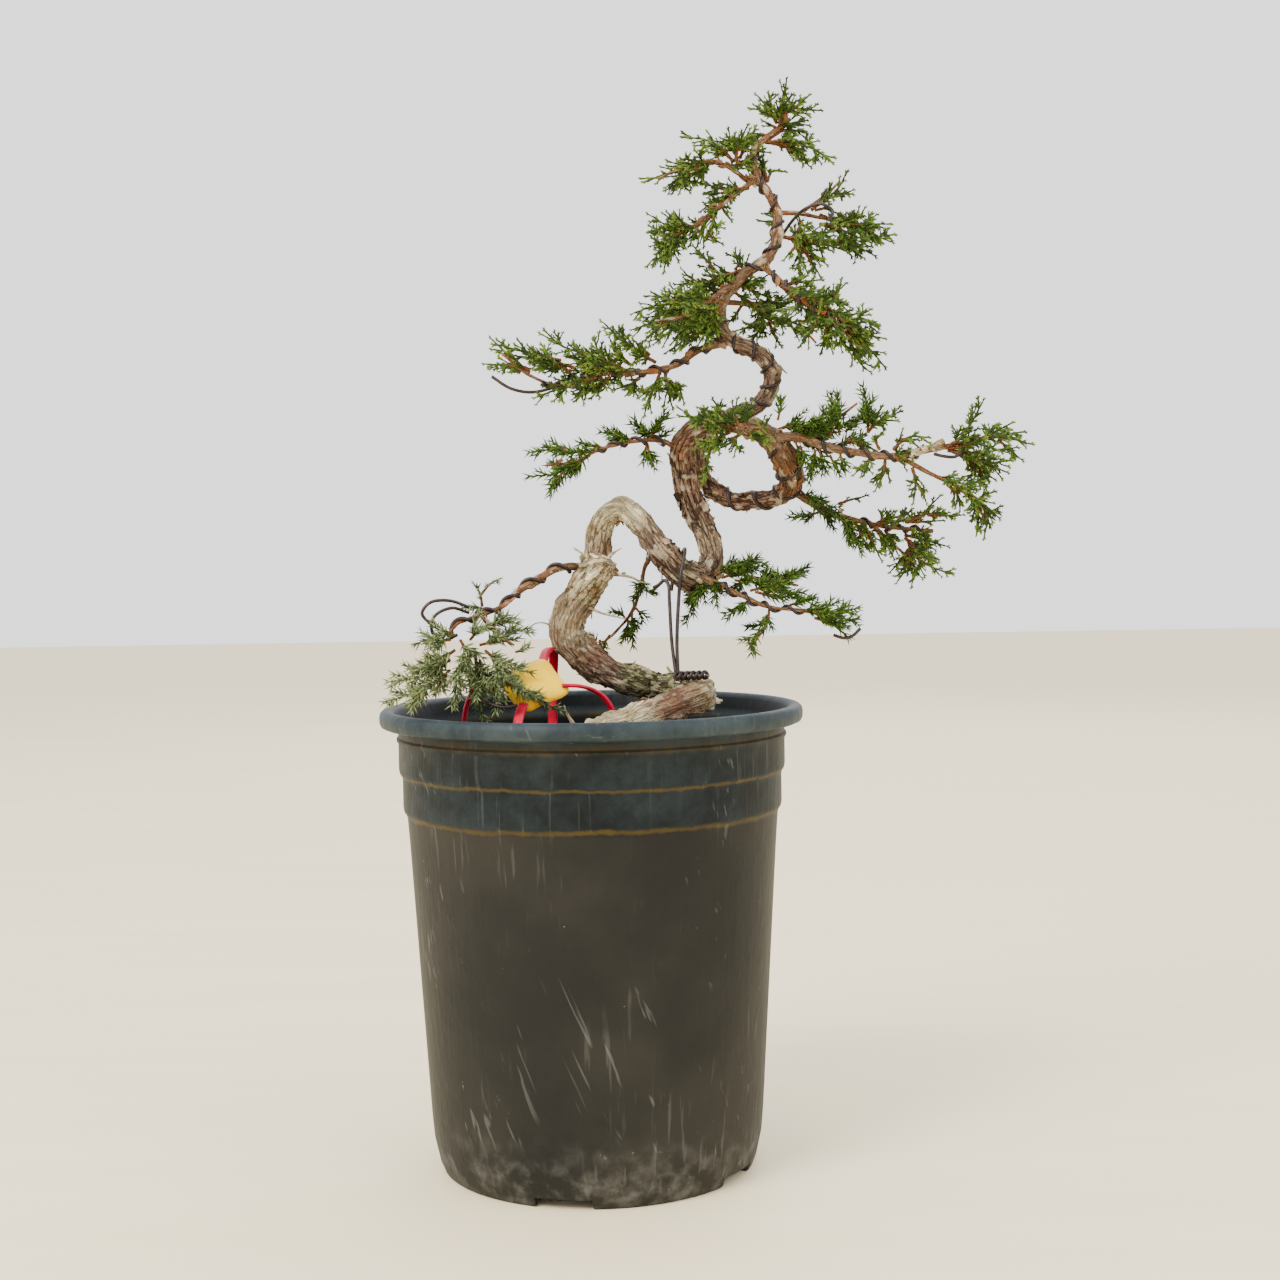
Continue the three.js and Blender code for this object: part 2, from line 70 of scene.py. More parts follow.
# %% Camera
camera_data = bpy.data.cameras.new("camera")
camera_data.sensor_width = 36
camera_data.lens = 55.1
camera = bpy.data.objects.new("camera", camera_data)
camera.matrix_world = (Matrix.Translation((0.01943, -0.765, 0.241))
                       @ Matrix.Rotation(radians(90 - 2.69), 4, "X")
                       @ Matrix.Rotation(radians(-0.9), 4, "Z"))
bpy.context.scene.collection.objects.link(camera)
bpy.context.scene.camera = camera
print("camera", tuple(round(value, 3) for value in camera.location), "lens", camera_data.lens)


# %% Lamps and the room's own light
def soft_lamp(name, place, target, size, watts, tint):
    data = bpy.data.lights.new(name, "AREA")
    data.shape = "DISK"
    data.size = size
    data.energy = watts
    data.color = tint
    lamp = bpy.data.objects.new(name, data)
    lamp.location = place
    aim = Vector(target) - Vector(place)
    lamp.rotation_euler = aim.to_track_quat("-Z", "Y").to_euler()
    bpy.context.scene.collection.objects.link(lamp)


soft_lamp("key", (-1.1, -1.2, 1.5), (0, 0, 0.22), 1.0, 58, (1.0, 0.985, 0.96))
soft_lamp("fill", (1.5, -0.9, 0.9), (0, 0, 0.2), 1.4, 11, (0.96, 0.98, 1.0))
soft_lamp("back", (0.5, 1.6, 1.4), (0, 0, 0.25), 1.4, 14, (1.0, 1.0, 1.0))

room = bpy.data.worlds.new("room")
room.use_nodes = True
room.node_tree.nodes["Background"].inputs["Color"].default_value = (0.95, 0.955, 0.97, 1)
room.node_tree.nodes["Background"].inputs["Strength"].default_value = 1.95
bpy.context.scene.world = room
print("3 lamps and a pale room")

# %% [markdown]
# ## Words for shader sums
#
# Every finish below is worked out from noise, height and a few stored values. A small class wraps a
# node's socket, so that a sum of sockets is written as a sum and adds its own Math nodes. Any other
# node comes from one method that takes the node's type, its settings and its inputs. The same class
# serves the geometry trees.


# %% The socket class and the node method
class Link:
    """A node's output that can be used in sums."""

    def __init__(self, net, socket):
        self.net = net
        self.socket = socket

    def _sum(self, operation, first, second=0.0):
        return self.net.add("ShaderNodeMath", {"operation": operation}, {0: first, 1: second})

    def __add__(self, other):
        return self._sum("ADD", self, other)

    def __radd__(self, other):
        return self._sum("ADD", other, self)

    def __sub__(self, other):
        return self._sum("SUBTRACT", self, other)

    def __rsub__(self, other):
        return self._sum("SUBTRACT", other, self)

    def __mul__(self, other):
        return self._sum("MULTIPLY", self, other)

    def __rmul__(self, other):
        return self._sum("MULTIPLY", other, self)

    def __truediv__(self, other):
        return self._sum("DIVIDE", self, other)

    def __mod__(self, other):
        return self._sum("MODULO", self, other)

    def __pow__(self, other):
        return self._sum("POWER", self, other)

    def above(self, low, high):
        """0 below low, 1 above high, and smooth between them."""
        return self.net.add("ShaderNodeMapRange", {"interpolation_type": "SMOOTHSTEP"},
                            {"Value": self, "From Min": low, "From Max": high})

    def near(self, place, width):
        """1 at a place, falling to 0 a width away from it."""
        away = self._sum("ABSOLUTE", self - place)
        return 1 - away.above(0.0, width)


class Net:
    """A node tree that nodes are added to."""

    def __init__(self, tree):
        self.tree = tree

    def add(self, kind, settings=None, inputs=None, output=0):
        node = self.tree.nodes.new(kind)
        for key, value in (settings or {}).items():
            setattr(node, key, value)
        for key, value in (inputs or {}).items():
            socket = node.inputs[key]
            if isinstance(value, Link):
                self.tree.links.new(value.socket, socket)
            else:
                socket.default_value = value
        return Link(self, node.outputs[output])

    def mix(self, factor, first, second):
        """A colour between two others."""
        return self.add("ShaderNodeMix", {"data_type": "RGBA"}, {0: factor, 6: first, 7: second}, 2)

    def noise(self, where, scale, detail=4.0, rough=0.55):
        return self.add("ShaderNodeTexNoise", {}, {"Vector": where, "Scale": scale, "Detail": detail,
                                                   "Roughness": rough})

    def stretched(self, where, scale):
        """A vector scaled by a different amount along each axis."""
        return self.add("ShaderNodeVectorMath", {"operation": "MULTIPLY"}, {0: where, 1: scale})

    def cracks(self, where, scale):
        """How far a spot lies from the nearest crack between plates of uneven size."""
        return self.add("ShaderNodeTexVoronoi", {"feature": "DISTANCE_TO_EDGE"},
                        {"Vector": where, "Scale": scale})

    def place(self):
        return self.add("ShaderNodeTexCoord", output="Object")

    def height(self, where):
        return self.add("ShaderNodeSeparateXYZ", {}, {0: where}, 2)

    def stored(self, name, output="Fac"):
        return self.add("ShaderNodeAttribute", {"attribute_name": name}, output=output)


def rgb(code):
    """A colour from its usual six-digit code, in the linear values that nodes use."""
    parts = [int(code[start:start + 2], 16) / 255 for start in (0, 2, 4)]
    return tuple(part / 12.92 if part < 0.04045 else ((part + 0.055) / 1.055) ** 2.4
                 for part in parts) + (1.0,)


def finish(name, make, **fixed):
    """A material whose changing inputs come from make(net), and whose fixed ones are set here."""
    material = bpy.data.materials.new(name)
    material.use_nodes = True
    net = Net(material.node_tree)
    shader = material.node_tree.nodes["Principled BSDF"]
    for key, value in fixed.items():
        shader.inputs[key.replace("_", " ")].default_value = value
    for key, link in make(net).items():
        if key == "Bump":
            height, depth = link
            bump = net.add("ShaderNodeBump", {}, {"Height": height, "Strength": 1.0,
                                                  "Distance": depth})
            net.tree.links.new(bump.socket, shader.inputs["Normal"])
        else:
            net.tree.links.new(link.socket, shader.inputs[key])
    return material


# %% Floor
def floor_look(net):
    where = net.place()
    grain = net.noise(net.stretched(where, (1.2, 9.0, 1.0)), 3.0)
    return {"Base Color": net.mix(grain, rgb("efdcae"), rgb("f7e9c6")), "Roughness": 0.55 + grain * 0.15}


bpy.ops.mesh.primitive_plane_add(size=9, location=(0, 0, 0))
floor = bpy.context.object
floor.name = "floor"
floor.data.materials.append(finish("pale_floor", floor_look))
print("floor", tuple(round(value, 1) for value in floor.dimensions))

# %% [markdown]
# ## Helpers for meshes and trees
#
# Pieces are made from plain lists of corners and faces. A geometry tree is built once, with named
# inputs for its sizes, and run on a mesh; what it makes is kept as a plain mesh and the modifier is
# taken away, so that nothing live is left on a piece.


# %% Mesh and tree helpers
def mesh_piece(name, corners, faces, values=None, smooth=True):
    """A mesh object from corners in metres, with stored values on its corners."""
    mesh = bpy.data.meshes.new(name)
    mesh.from_pydata([tuple(corner) for corner in corners], [], faces)
    for key, numbers in (values or {}).items():
        numbers = np.asarray(numbers, np.float32)
        kind, slot = ("FLOAT", "value") if numbers.ndim == 1 else ("FLOAT_VECTOR", "vector")
        layer = mesh.attributes.new(key, kind, "POINT")
        layer.data.foreach_set(slot, numbers.ravel())
    mesh.polygons.foreach_set("use_smooth", [smooth] * len(mesh.polygons))
    mesh.update()
    piece = bpy.data.objects.new(name, mesh)
    bpy.context.scene.collection.objects.link(piece)
    return piece


def line_piece(name, lines, values=None):
    """A mesh of edges only: several open lines of points in metres, one after another."""
    corners = np.vstack(lines)
    starts = np.cumsum([0] + [len(line) for line in lines])
    edges = [(spot, spot + 1) for first, last in zip(starts, starts[1:])
             for spot in range(first, last - 1)]
    piece = mesh_piece(name, corners, [], values)
    piece.data.edges.add(len(edges))
    piece.data.edges.foreach_set("vertices", np.array(edges, np.int32).ravel())
    piece.data.update()
    return piece


def new_tree(name, sizes):
    """An empty geometry tree with named inputs: (net, its inputs, a function that closes it)."""
    group = bpy.data.node_groups.new(name, "GeometryNodeTree")
    face = group.interface
    face.new_socket("Geometry", in_out="INPUT", socket_type="NodeSocketGeometry")
    for label, kind in sizes.items():
        face.new_socket(label, in_out="INPUT", socket_type="NodeSocket" + kind)
    face.new_socket("Geometry", in_out="OUTPUT", socket_type="NodeSocketGeometry")
    net = Net(group)
    entry = group.nodes.new("NodeGroupInput")
    given = {label: Link(net, entry.outputs[label]) for label in ["Geometry", *sizes]}
    leave = group.nodes.new("NodeGroupOutput")

    def close(result):
        real = net.add("GeometryNodeRealizeInstances", {}, {"Geometry": result})
        dressed = net.add("GeometryNodeSetMaterial", {}, {"Geometry": real,
                                                          "Material": given["Material"]})
        group.links.new(dressed.socket, leave.inputs["Geometry"])
        return group

    return net, given, close


def shade_smooth(mesh):
    mesh.polygons.foreach_set("use_smooth", [True] * len(mesh.polygons))


def grown(source, group, sizes):
    """What a tree makes of a mesh, as a plain mesh on the same object."""
    modifier = source.modifiers.new("grow", "NODES")
    modifier.node_group = group
    for item in group.interface.items_tree:
        if item.item_type == "SOCKET" and item.in_out == "INPUT" and item.name in sizes:
            modifier[item.identifier] = sizes[item.name]
    bpy.context.view_layer.update()
    shown = source.evaluated_get(bpy.context.evaluated_depsgraph_get())
    mesh = bpy.data.meshes.new_from_object(shown, preserve_all_data_layers=True,
                                           depsgraph=bpy.context.evaluated_depsgraph_get())
    source.modifiers.remove(modifier)
    source.data = mesh
    shade_smooth(mesh)
    return source


def settle(piece, slot, *nodes):
    """Ties a piece to the frame and says what it made."""
    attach(piece, "root")
    if nodes:
        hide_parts(*nodes)
    piece.data.calc_loop_triangles()
    print(piece.name, len(piece.data.loop_triangles), "triangles")
    return piece


def spare(name, corners, faces, values=None):
    """A shape that is only ever copied by a tree, so it stays out of the scene."""
    shape = mesh_piece(name, corners, faces, values)
    bpy.context.scene.collection.objects.unlink(shape)
    return shape

# %% [markdown]
# ## The pot
#
# The real pot is blown from thin black plastic: a rolled lip, two bands that step in below it, a wall
# that tapers down to a rounded corner, and a foot with notches and a drain channel with holes. A
# profile turned round the axis gives the shell; a modelling program could also spin it, or sweep the
# profile along a circle. It is turned here in code, so that each profile point can be rounded first.
# The notches and the holes repeat round the foot, so a tree places their cutters on a circle and
# takes them away from the shell.


# %% Pot profile
LIP_OUTSIDE = [(76.0, 168.0), (76.0, 168.8), (75.3, 169.6), (75.3, 172.0), (76.4, 172.7), (80.2, 173.0),
               (81.8, 173.7), (82.4, 175.0), (82.5, 177), (82.2, 178.6), (81.2, 179.6), (79.8, 180)]
LIP_INSIDE = [(78.4, 179.8), (77.4, 179.2), (76.6, 177.8)]
POT_OUTSIDE = [(57.2, 0.2), (58, 0), (60.2, 0), (61.2, 0.8), (62.4, 4), (63.4, 8.5), (64.4, 13),
               (65.2, 22), (66.4, 42), (68.4, 75), (70.2, 105), (71.6, 128), (72.3, 137.6),
               (72.6, 139.0), (73.6, 140.6), (73.9, 142.2), (73.9, 152.8), (74.1, 154.0),
               (75.0, 155.4), (75.3, 157.0), (75.3, 167.0)]
POT_INSIDE = [(75.2, 174), (74.6, 171), (73.9, 168.6), (73.6, 166), (73.6, 156.6), (72.9, 155.0),
              (72.3, 154.2), (72.2, 142), (71.4, 140.4), (70.8, 139.2), (68.6, 105), (66.6, 70),
              (64.6, 36), (63, 14), (61.6, 9.4), (60, 8), (38.4, 8), (37.2, 7), (36.6, 3),
              (35.8, 2), (18, 2), (0, 2)]
POT_UNDER = [(0, 0), (20, 0), (39.4, 0), (40.4, 0.8), (41.8, 5.2), (42.6, 6), (55.4, 6), (56.4, 5.2)]
POT_TURNS = 224


def turned(profile, turns):
    """A closed shell: a closed profile of (radius, height) turned round the axis, poles merged."""
    corners, rings = [], []
    for radius, height in profile:
        if radius == 0:
            rings.append([len(corners)] * turns)
            corners.append((0, 0, height))
        else:
            rings.append(list(range(len(corners), len(corners) + turns)))
            corners += [(radius * cos(tau * turn / turns), radius * sin(tau * turn / turns), height)
                        for turn in range(turns)]
    faces = []
    for low, high in zip(rings, rings[1:] + rings[:1]):
        for turn in range(turns):
            after = (turn + 1) % turns
            loop = [low[turn], low[after], high[after], high[turn]]
            face = [spot for index, spot in enumerate(loop) if spot != loop[index - 1]]
            if len(set(face)) > 2:
                faces.append(face)
    return np.array(corners) * MM, faces


WALL_THICKNESS = 0.9  # thinner than any part of the wall, so it tells the two sides apart


def inside_for_painted_shade(corners):
    """1 for each corner (in metres) that lies inside the pot, 0 for each on its outside; the pot's finish
    paints the 1s in shade.
    """
    outline = np.array(POT_OUTSIDE + LIP_OUTSIDE)
    spots = np.array(corners) / MM
    outside = np.interp(spots[:, 2], outline[:, 1], outline[:, 0])
    reach = np.hypot(spots[:, 0], spots[:, 1])
    return ((reach < outside - WALL_THICKNESS) & (spots[:, 2] < 177.9)).astype(np.float32)


profile = POT_OUTSIDE + LIP_OUTSIDE + LIP_INSIDE + POT_INSIDE + POT_UNDER
pot = mesh_piece("ribbed_nursery_pot", *turned(profile, POT_TURNS))
print("pot shell", len(pot.data.polygons), "faces")


# %% Cut the notches and the drain holes
net, given, close = new_tree("foot_cuts", {
    "Foot Radius": "Float", "Notch Count": "Int", "Notch Size": "Vector", "Notch Turn": "Float",
    "Hole Count": "Int", "Hole Ring": "Float", "Hole Radius": "Float", "Material": "Material"})


def round_the_foot(shape, count, radius, turn):
    """Copies of a cutter, spaced evenly on a circle and turned to face out from it."""
    circle = net.add("GeometryNodeMeshCircle", {}, {"Vertices": count, "Radius": radius})
    index = net.add("GeometryNodeInputIndex")
    angle = index * tau / count
    facing = net.add("ShaderNodeCombineXYZ", {}, {2: angle})
    copies = net.add("GeometryNodeInstanceOnPoints", {}, {"Points": circle, "Instance": shape,
                                                          "Rotation": facing})
    spin = net.add("ShaderNodeCombineXYZ", {}, {2: turn})
    turned_round = net.add("GeometryNodeTransform", {}, {"Geometry": copies, "Rotation": spin})
    return net.add("GeometryNodeRealizeInstances", {}, {"Geometry": turned_round})


notch = net.add("GeometryNodeMeshCube", {}, {"Size": given["Notch Size"]})
hole = net.add("GeometryNodeMeshCylinder", {}, {"Vertices": 20, "Radius": given["Hole Radius"],
                                                "Depth": 0.02})
hole_up = net.add("GeometryNodeTransform", {}, {"Geometry": hole, "Translation": (0, 0, 0.007)})
notches = round_the_foot(notch, given["Notch Count"], given["Foot Radius"], given["Notch Turn"])
holes = round_the_foot(hole_up, given["Hole Count"], given["Hole Ring"], 0.0)
once = net.add("GeometryNodeMeshBoolean", {"operation": "DIFFERENCE", "solver": "EXACT"},
               {"Mesh 1": given["Geometry"], "Mesh 2": notches})
twice = net.add("GeometryNodeMeshBoolean", {"operation": "DIFFERENCE", "solver": "EXACT"},
                {"Mesh 1": once, "Mesh 2": holes})
foot_cuts = close(twice)


# %% Pot plastic
def pot_look(net):
    where = net.place()
    up = net.height(where) * 1000
    cloud = net.noise(where, 14, 5)
    blotch = net.noise(where, 38, 6, 0.7)
    fine = net.noise(where, 160, 3)
    wall = net.mix(cloud.above(0.35, 0.7), rgb("1b1b19"), rgb("292722"))
    bands = net.mix(blotch.above(0.35, 0.68), rgb("0c1113"), rgb("1f272a"))
    lip = net.mix(blotch.above(0.3, 0.7), rgb("1c2529"), rgb("343d3f"))
    colour = net.mix(up.above(137, 142), wall, bands)
    colour = net.mix(up.above(169, 173), colour, lip)
    ragged = up + (blotch - 0.5) * 5
    lines = ragged.near(139.6, 2.4) + ragged.near(154.8, 1.7) + ragged.near(169.6, 4.4) * 0.8
    colour = net.mix((lines * (0.4 + fine)).above(0.3, 1.1) * 0.85, colour, rgb("45381b"))
    rubbed = net.noise(net.stretched(where, (0.3, 0.3, 2.6)), 60, 6, 0.75)
    patchy = net.noise(where, 24, 2)
    level_marks = rubbed.above(0.64, 0.7) * patchy.above(0.52, 0.62) * fine.above(0.36, 0.56)
    brushed = net.noise(net.stretched(where, (1.0, 1.0, 0.05)), 420, 2)
    upright_marks = brushed.above(0.6, 0.72) * cloud.above(0.42, 0.62)
    leaning = net.add("ShaderNodeMapping", {}, {"Vector": where, "Rotation": (0, 0.4, 0)})
    swept = net.noise(net.stretched(leaning, (1.0, 1.0, 0.04)), 330, 2)
    leaning_marks = swept.above(0.64, 0.7) * patchy.above(0.46, 0.6)
    spots = net.noise(where, 150, 5, 0.75).above(0.68, 0.74) * blotch.above(0.5, 0.62)
    colour = net.mix(upright_marks * 0.1, colour, rgb("8b8c82"))
    colour = net.mix(leaning_marks * 0.13, colour, rgb("9a9b92"))
    colour = net.mix(level_marks * 0.42, colour, rgb("8f938b"))
    colour = net.mix(spots * 0.4, colour, rgb("a0a49b"))
    dust = (1 - up.above(3, 30)) * (blotch * 0.7 + fine * 0.6).above(0.56, 0.9)
    colour = net.mix(dust * 0.62, colour, rgb("6b6962"))
    # Painted shade: corners inside the pot, and under its floor within the foot, are painted near-black.
    colour = net.mix(net.stored("inner"), colour, rgb("030506"))
    rough = 0.42 + cloud * 0.2 + level_marks * 0.2 + dust * 0.25
    return {"Base Color": colour, "Roughness": rough,
            "Bump": (fine * 0.5 + brushed * 0.3 + cloud * 0.6 + blotch * 0.4, 0.0005)}


pot = grown(pot, foot_cuts, {
    "Foot Radius": 60.5 * MM, "Notch Count": 5, "Notch Size": (12 * MM, 22 * MM, 8 * MM),
    "Notch Turn": radians(-101), "Hole Count": 8, "Hole Ring": 48.5 * MM, "Hole Radius": 4 * MM,
    "Material": finish("nursery_plastic", pot_look, Specular_IOR_Level=0.12)})
# The corners inside the pot are marked for its painted shade.
inner = pot.data.attributes.new("inner", "FLOAT", "POINT")
inner.data.foreach_set("value", inside_for_painted_shade([corner.co for corner in pot.data.vertices]))
shade_smooth(pot.data)
pot.data.set_sharp_from_angle(angle=radians(38))
settle(pot, "pot_plastic", "nursery_pot")

# %% [markdown]
# ## The soil
#
# Potting mix is bark crumbs and grit. Its surface is a turned plug, like the frame's, with its top
# broken up by noise, and a tree scatters a few hundred chips over it. The chips are one rough
# twelve-cornered crumb, scaled and turned at random from a fixed seed.


# %% Soil surface
SOIL_EDGE = 71.7
SOIL_TURNS = 96
top_rings = [(SOIL_EDGE * (1 - step / 22), soil_top / MM) for step in range(22)] + [(0, soil_top / MM)]
soil_profile = [(0, 2.4), (35, 2.4), (38, 8.4), (59.5, 8.4), (62.4, 14.6), (SOIL_EDGE, 157)]
corners, faces = turned(soil_profile + top_rings, SOIL_TURNS)
for corner in corners:
    inside = 1 - (corner[0] ** 2 + corner[1] ** 2) ** 0.5 / (SOIL_EDGE * MM)
    if corner[2] > soil_top - 0.0005:
        lump = noise.noise(Vector(corner) * 70) * 1.6 + noise.noise(Vector(corner) * 260) * 1.1
        corner[2] += (lump - 2.4 + 1.6 * inside) * MM


def soil_look(net):
    where = net.place()
    coarse = net.noise(where, 180, 6)
    fine = net.noise(where, 900, 4)
    colour = net.mix(coarse.above(0.35, 0.68), rgb("17110c"), rgb("3c2c1f"))
    colour = net.mix(fine.above(0.62, 0.75), colour, rgb("6a5640"))
    return {"Base Color": colour, "Roughness": 0.85 + fine * 0.12, "Bump": (fine + coarse, 0.0012)}


soil_finish = finish("potting_mix", soil_look)
soil = mesh_piece("soil_surface", corners, faces)
soil.data.materials.append(soil_finish)
settle(soil, "soil", "potting_soil")


# %% Scatter the chips
def crumb(seed):
    """A rough closed lump of twenty faces, one unit across."""
    chance = random.Random(seed)
    gold = (1 + 5 ** 0.5) / 2
    spots = [(0, a, b * gold) for a in (-1, 1) for b in (-1, 1)]
    spots += [(a, b * gold, 0) for a in (-1, 1) for b in (-1, 1)]
    spots += [(b * gold, 0, a) for a in (-1, 1) for b in (-1, 1)]
    spots = np.array(spots, float) / 3.8
    near = [(a, b, c) for a in range(12) for b in range(a + 1, 12) for c in range(b + 1, 12)
            if max(np.linalg.norm(spots[a] - spots[b]), np.linalg.norm(spots[b] - spots[c]),
                   np.linalg.norm(spots[a] - spots[c])) < 0.6]
    faces = []
    for a, b, c in near:
        out = np.dot(np.cross(spots[b] - spots[a], spots[c] - spots[a]), spots[a])
        faces.append((a, b, c) if out > 0 else (a, c, b))
    spots = spots * np.array([[chance.uniform(0.75, 1.2)] for _ in spots])
    return spots, faces


def random_vector(net, low, high, seed):
    return net.add("FunctionNodeRandomValue", {"data_type": "FLOAT_VECTOR"},
                   {0: low, 1: high, "Seed": seed})


def random_number(net, low, high, seed):
    return net.add("FunctionNodeRandomValue", {"data_type": "FLOAT"},
                   {2: low, 3: high, "Seed": seed}, 1)


net, given, close = new_tree("scattered_chips", {
    "Chip": "Object", "Density": "Float", "Smallest": "Float", "Largest": "Float", "Seed": "Int",
    "Material": "Material"})
upward = net.height(net.add("GeometryNodeInputNormal"))
high = net.height(net.add("GeometryNodeInputPosition"))
spots = net.add("GeometryNodeDistributePointsOnFaces", {}, {
    "Mesh": given["Geometry"], "Density": given["Density"] * upward.above(0.6, 0.7) * high.above(0.1, 0.12),
    "Seed": given["Seed"]})
chip = net.add("GeometryNodeObjectInfo", {}, {"Object": given["Chip"]}, "Geometry")
turn = random_vector(net, (0, 0, 0), (tau, tau, tau), 3)
size = random_number(net, given["Smallest"], given["Largest"], 4)
flat = net.add("ShaderNodeVectorMath", {"operation": "SCALE"}, {
    0: random_vector(net, (0.7, 0.5, 0.3), (1.5, 1.0, 0.7), 5), "Scale": size})
chips = net.add("GeometryNodeInstanceOnPoints", {}, {"Points": spots, "Instance": chip,
                                                     "Rotation": turn, "Scale": flat})
scattered_chips = close(chips)

chips = bpy.data.objects.new("soil_chips", soil.data.copy())
bpy.context.scene.collection.objects.link(chips)
chips = grown(chips, scattered_chips, {
    "Chip": spare("crumb", *crumb(5)), "Density": 60000.0, "Smallest": 1.6 * MM,
    "Largest": 5.2 * MM, "Seed": 2, "Material": soil_finish})
settle(chips, "soil")

# %% [markdown]
# ## The tree's routes
#
# A bent tree is mostly a matter of routes: where the trunk turns back, leans, arches, drops and
# climbs through its ring. These are the frame's own routes. Each point is x, y, the height above the
# soil and the radius, in millimetres. A curve is drawn through them in the same way as in the frame,
# so that bark, wires and foliage all find the same wood.

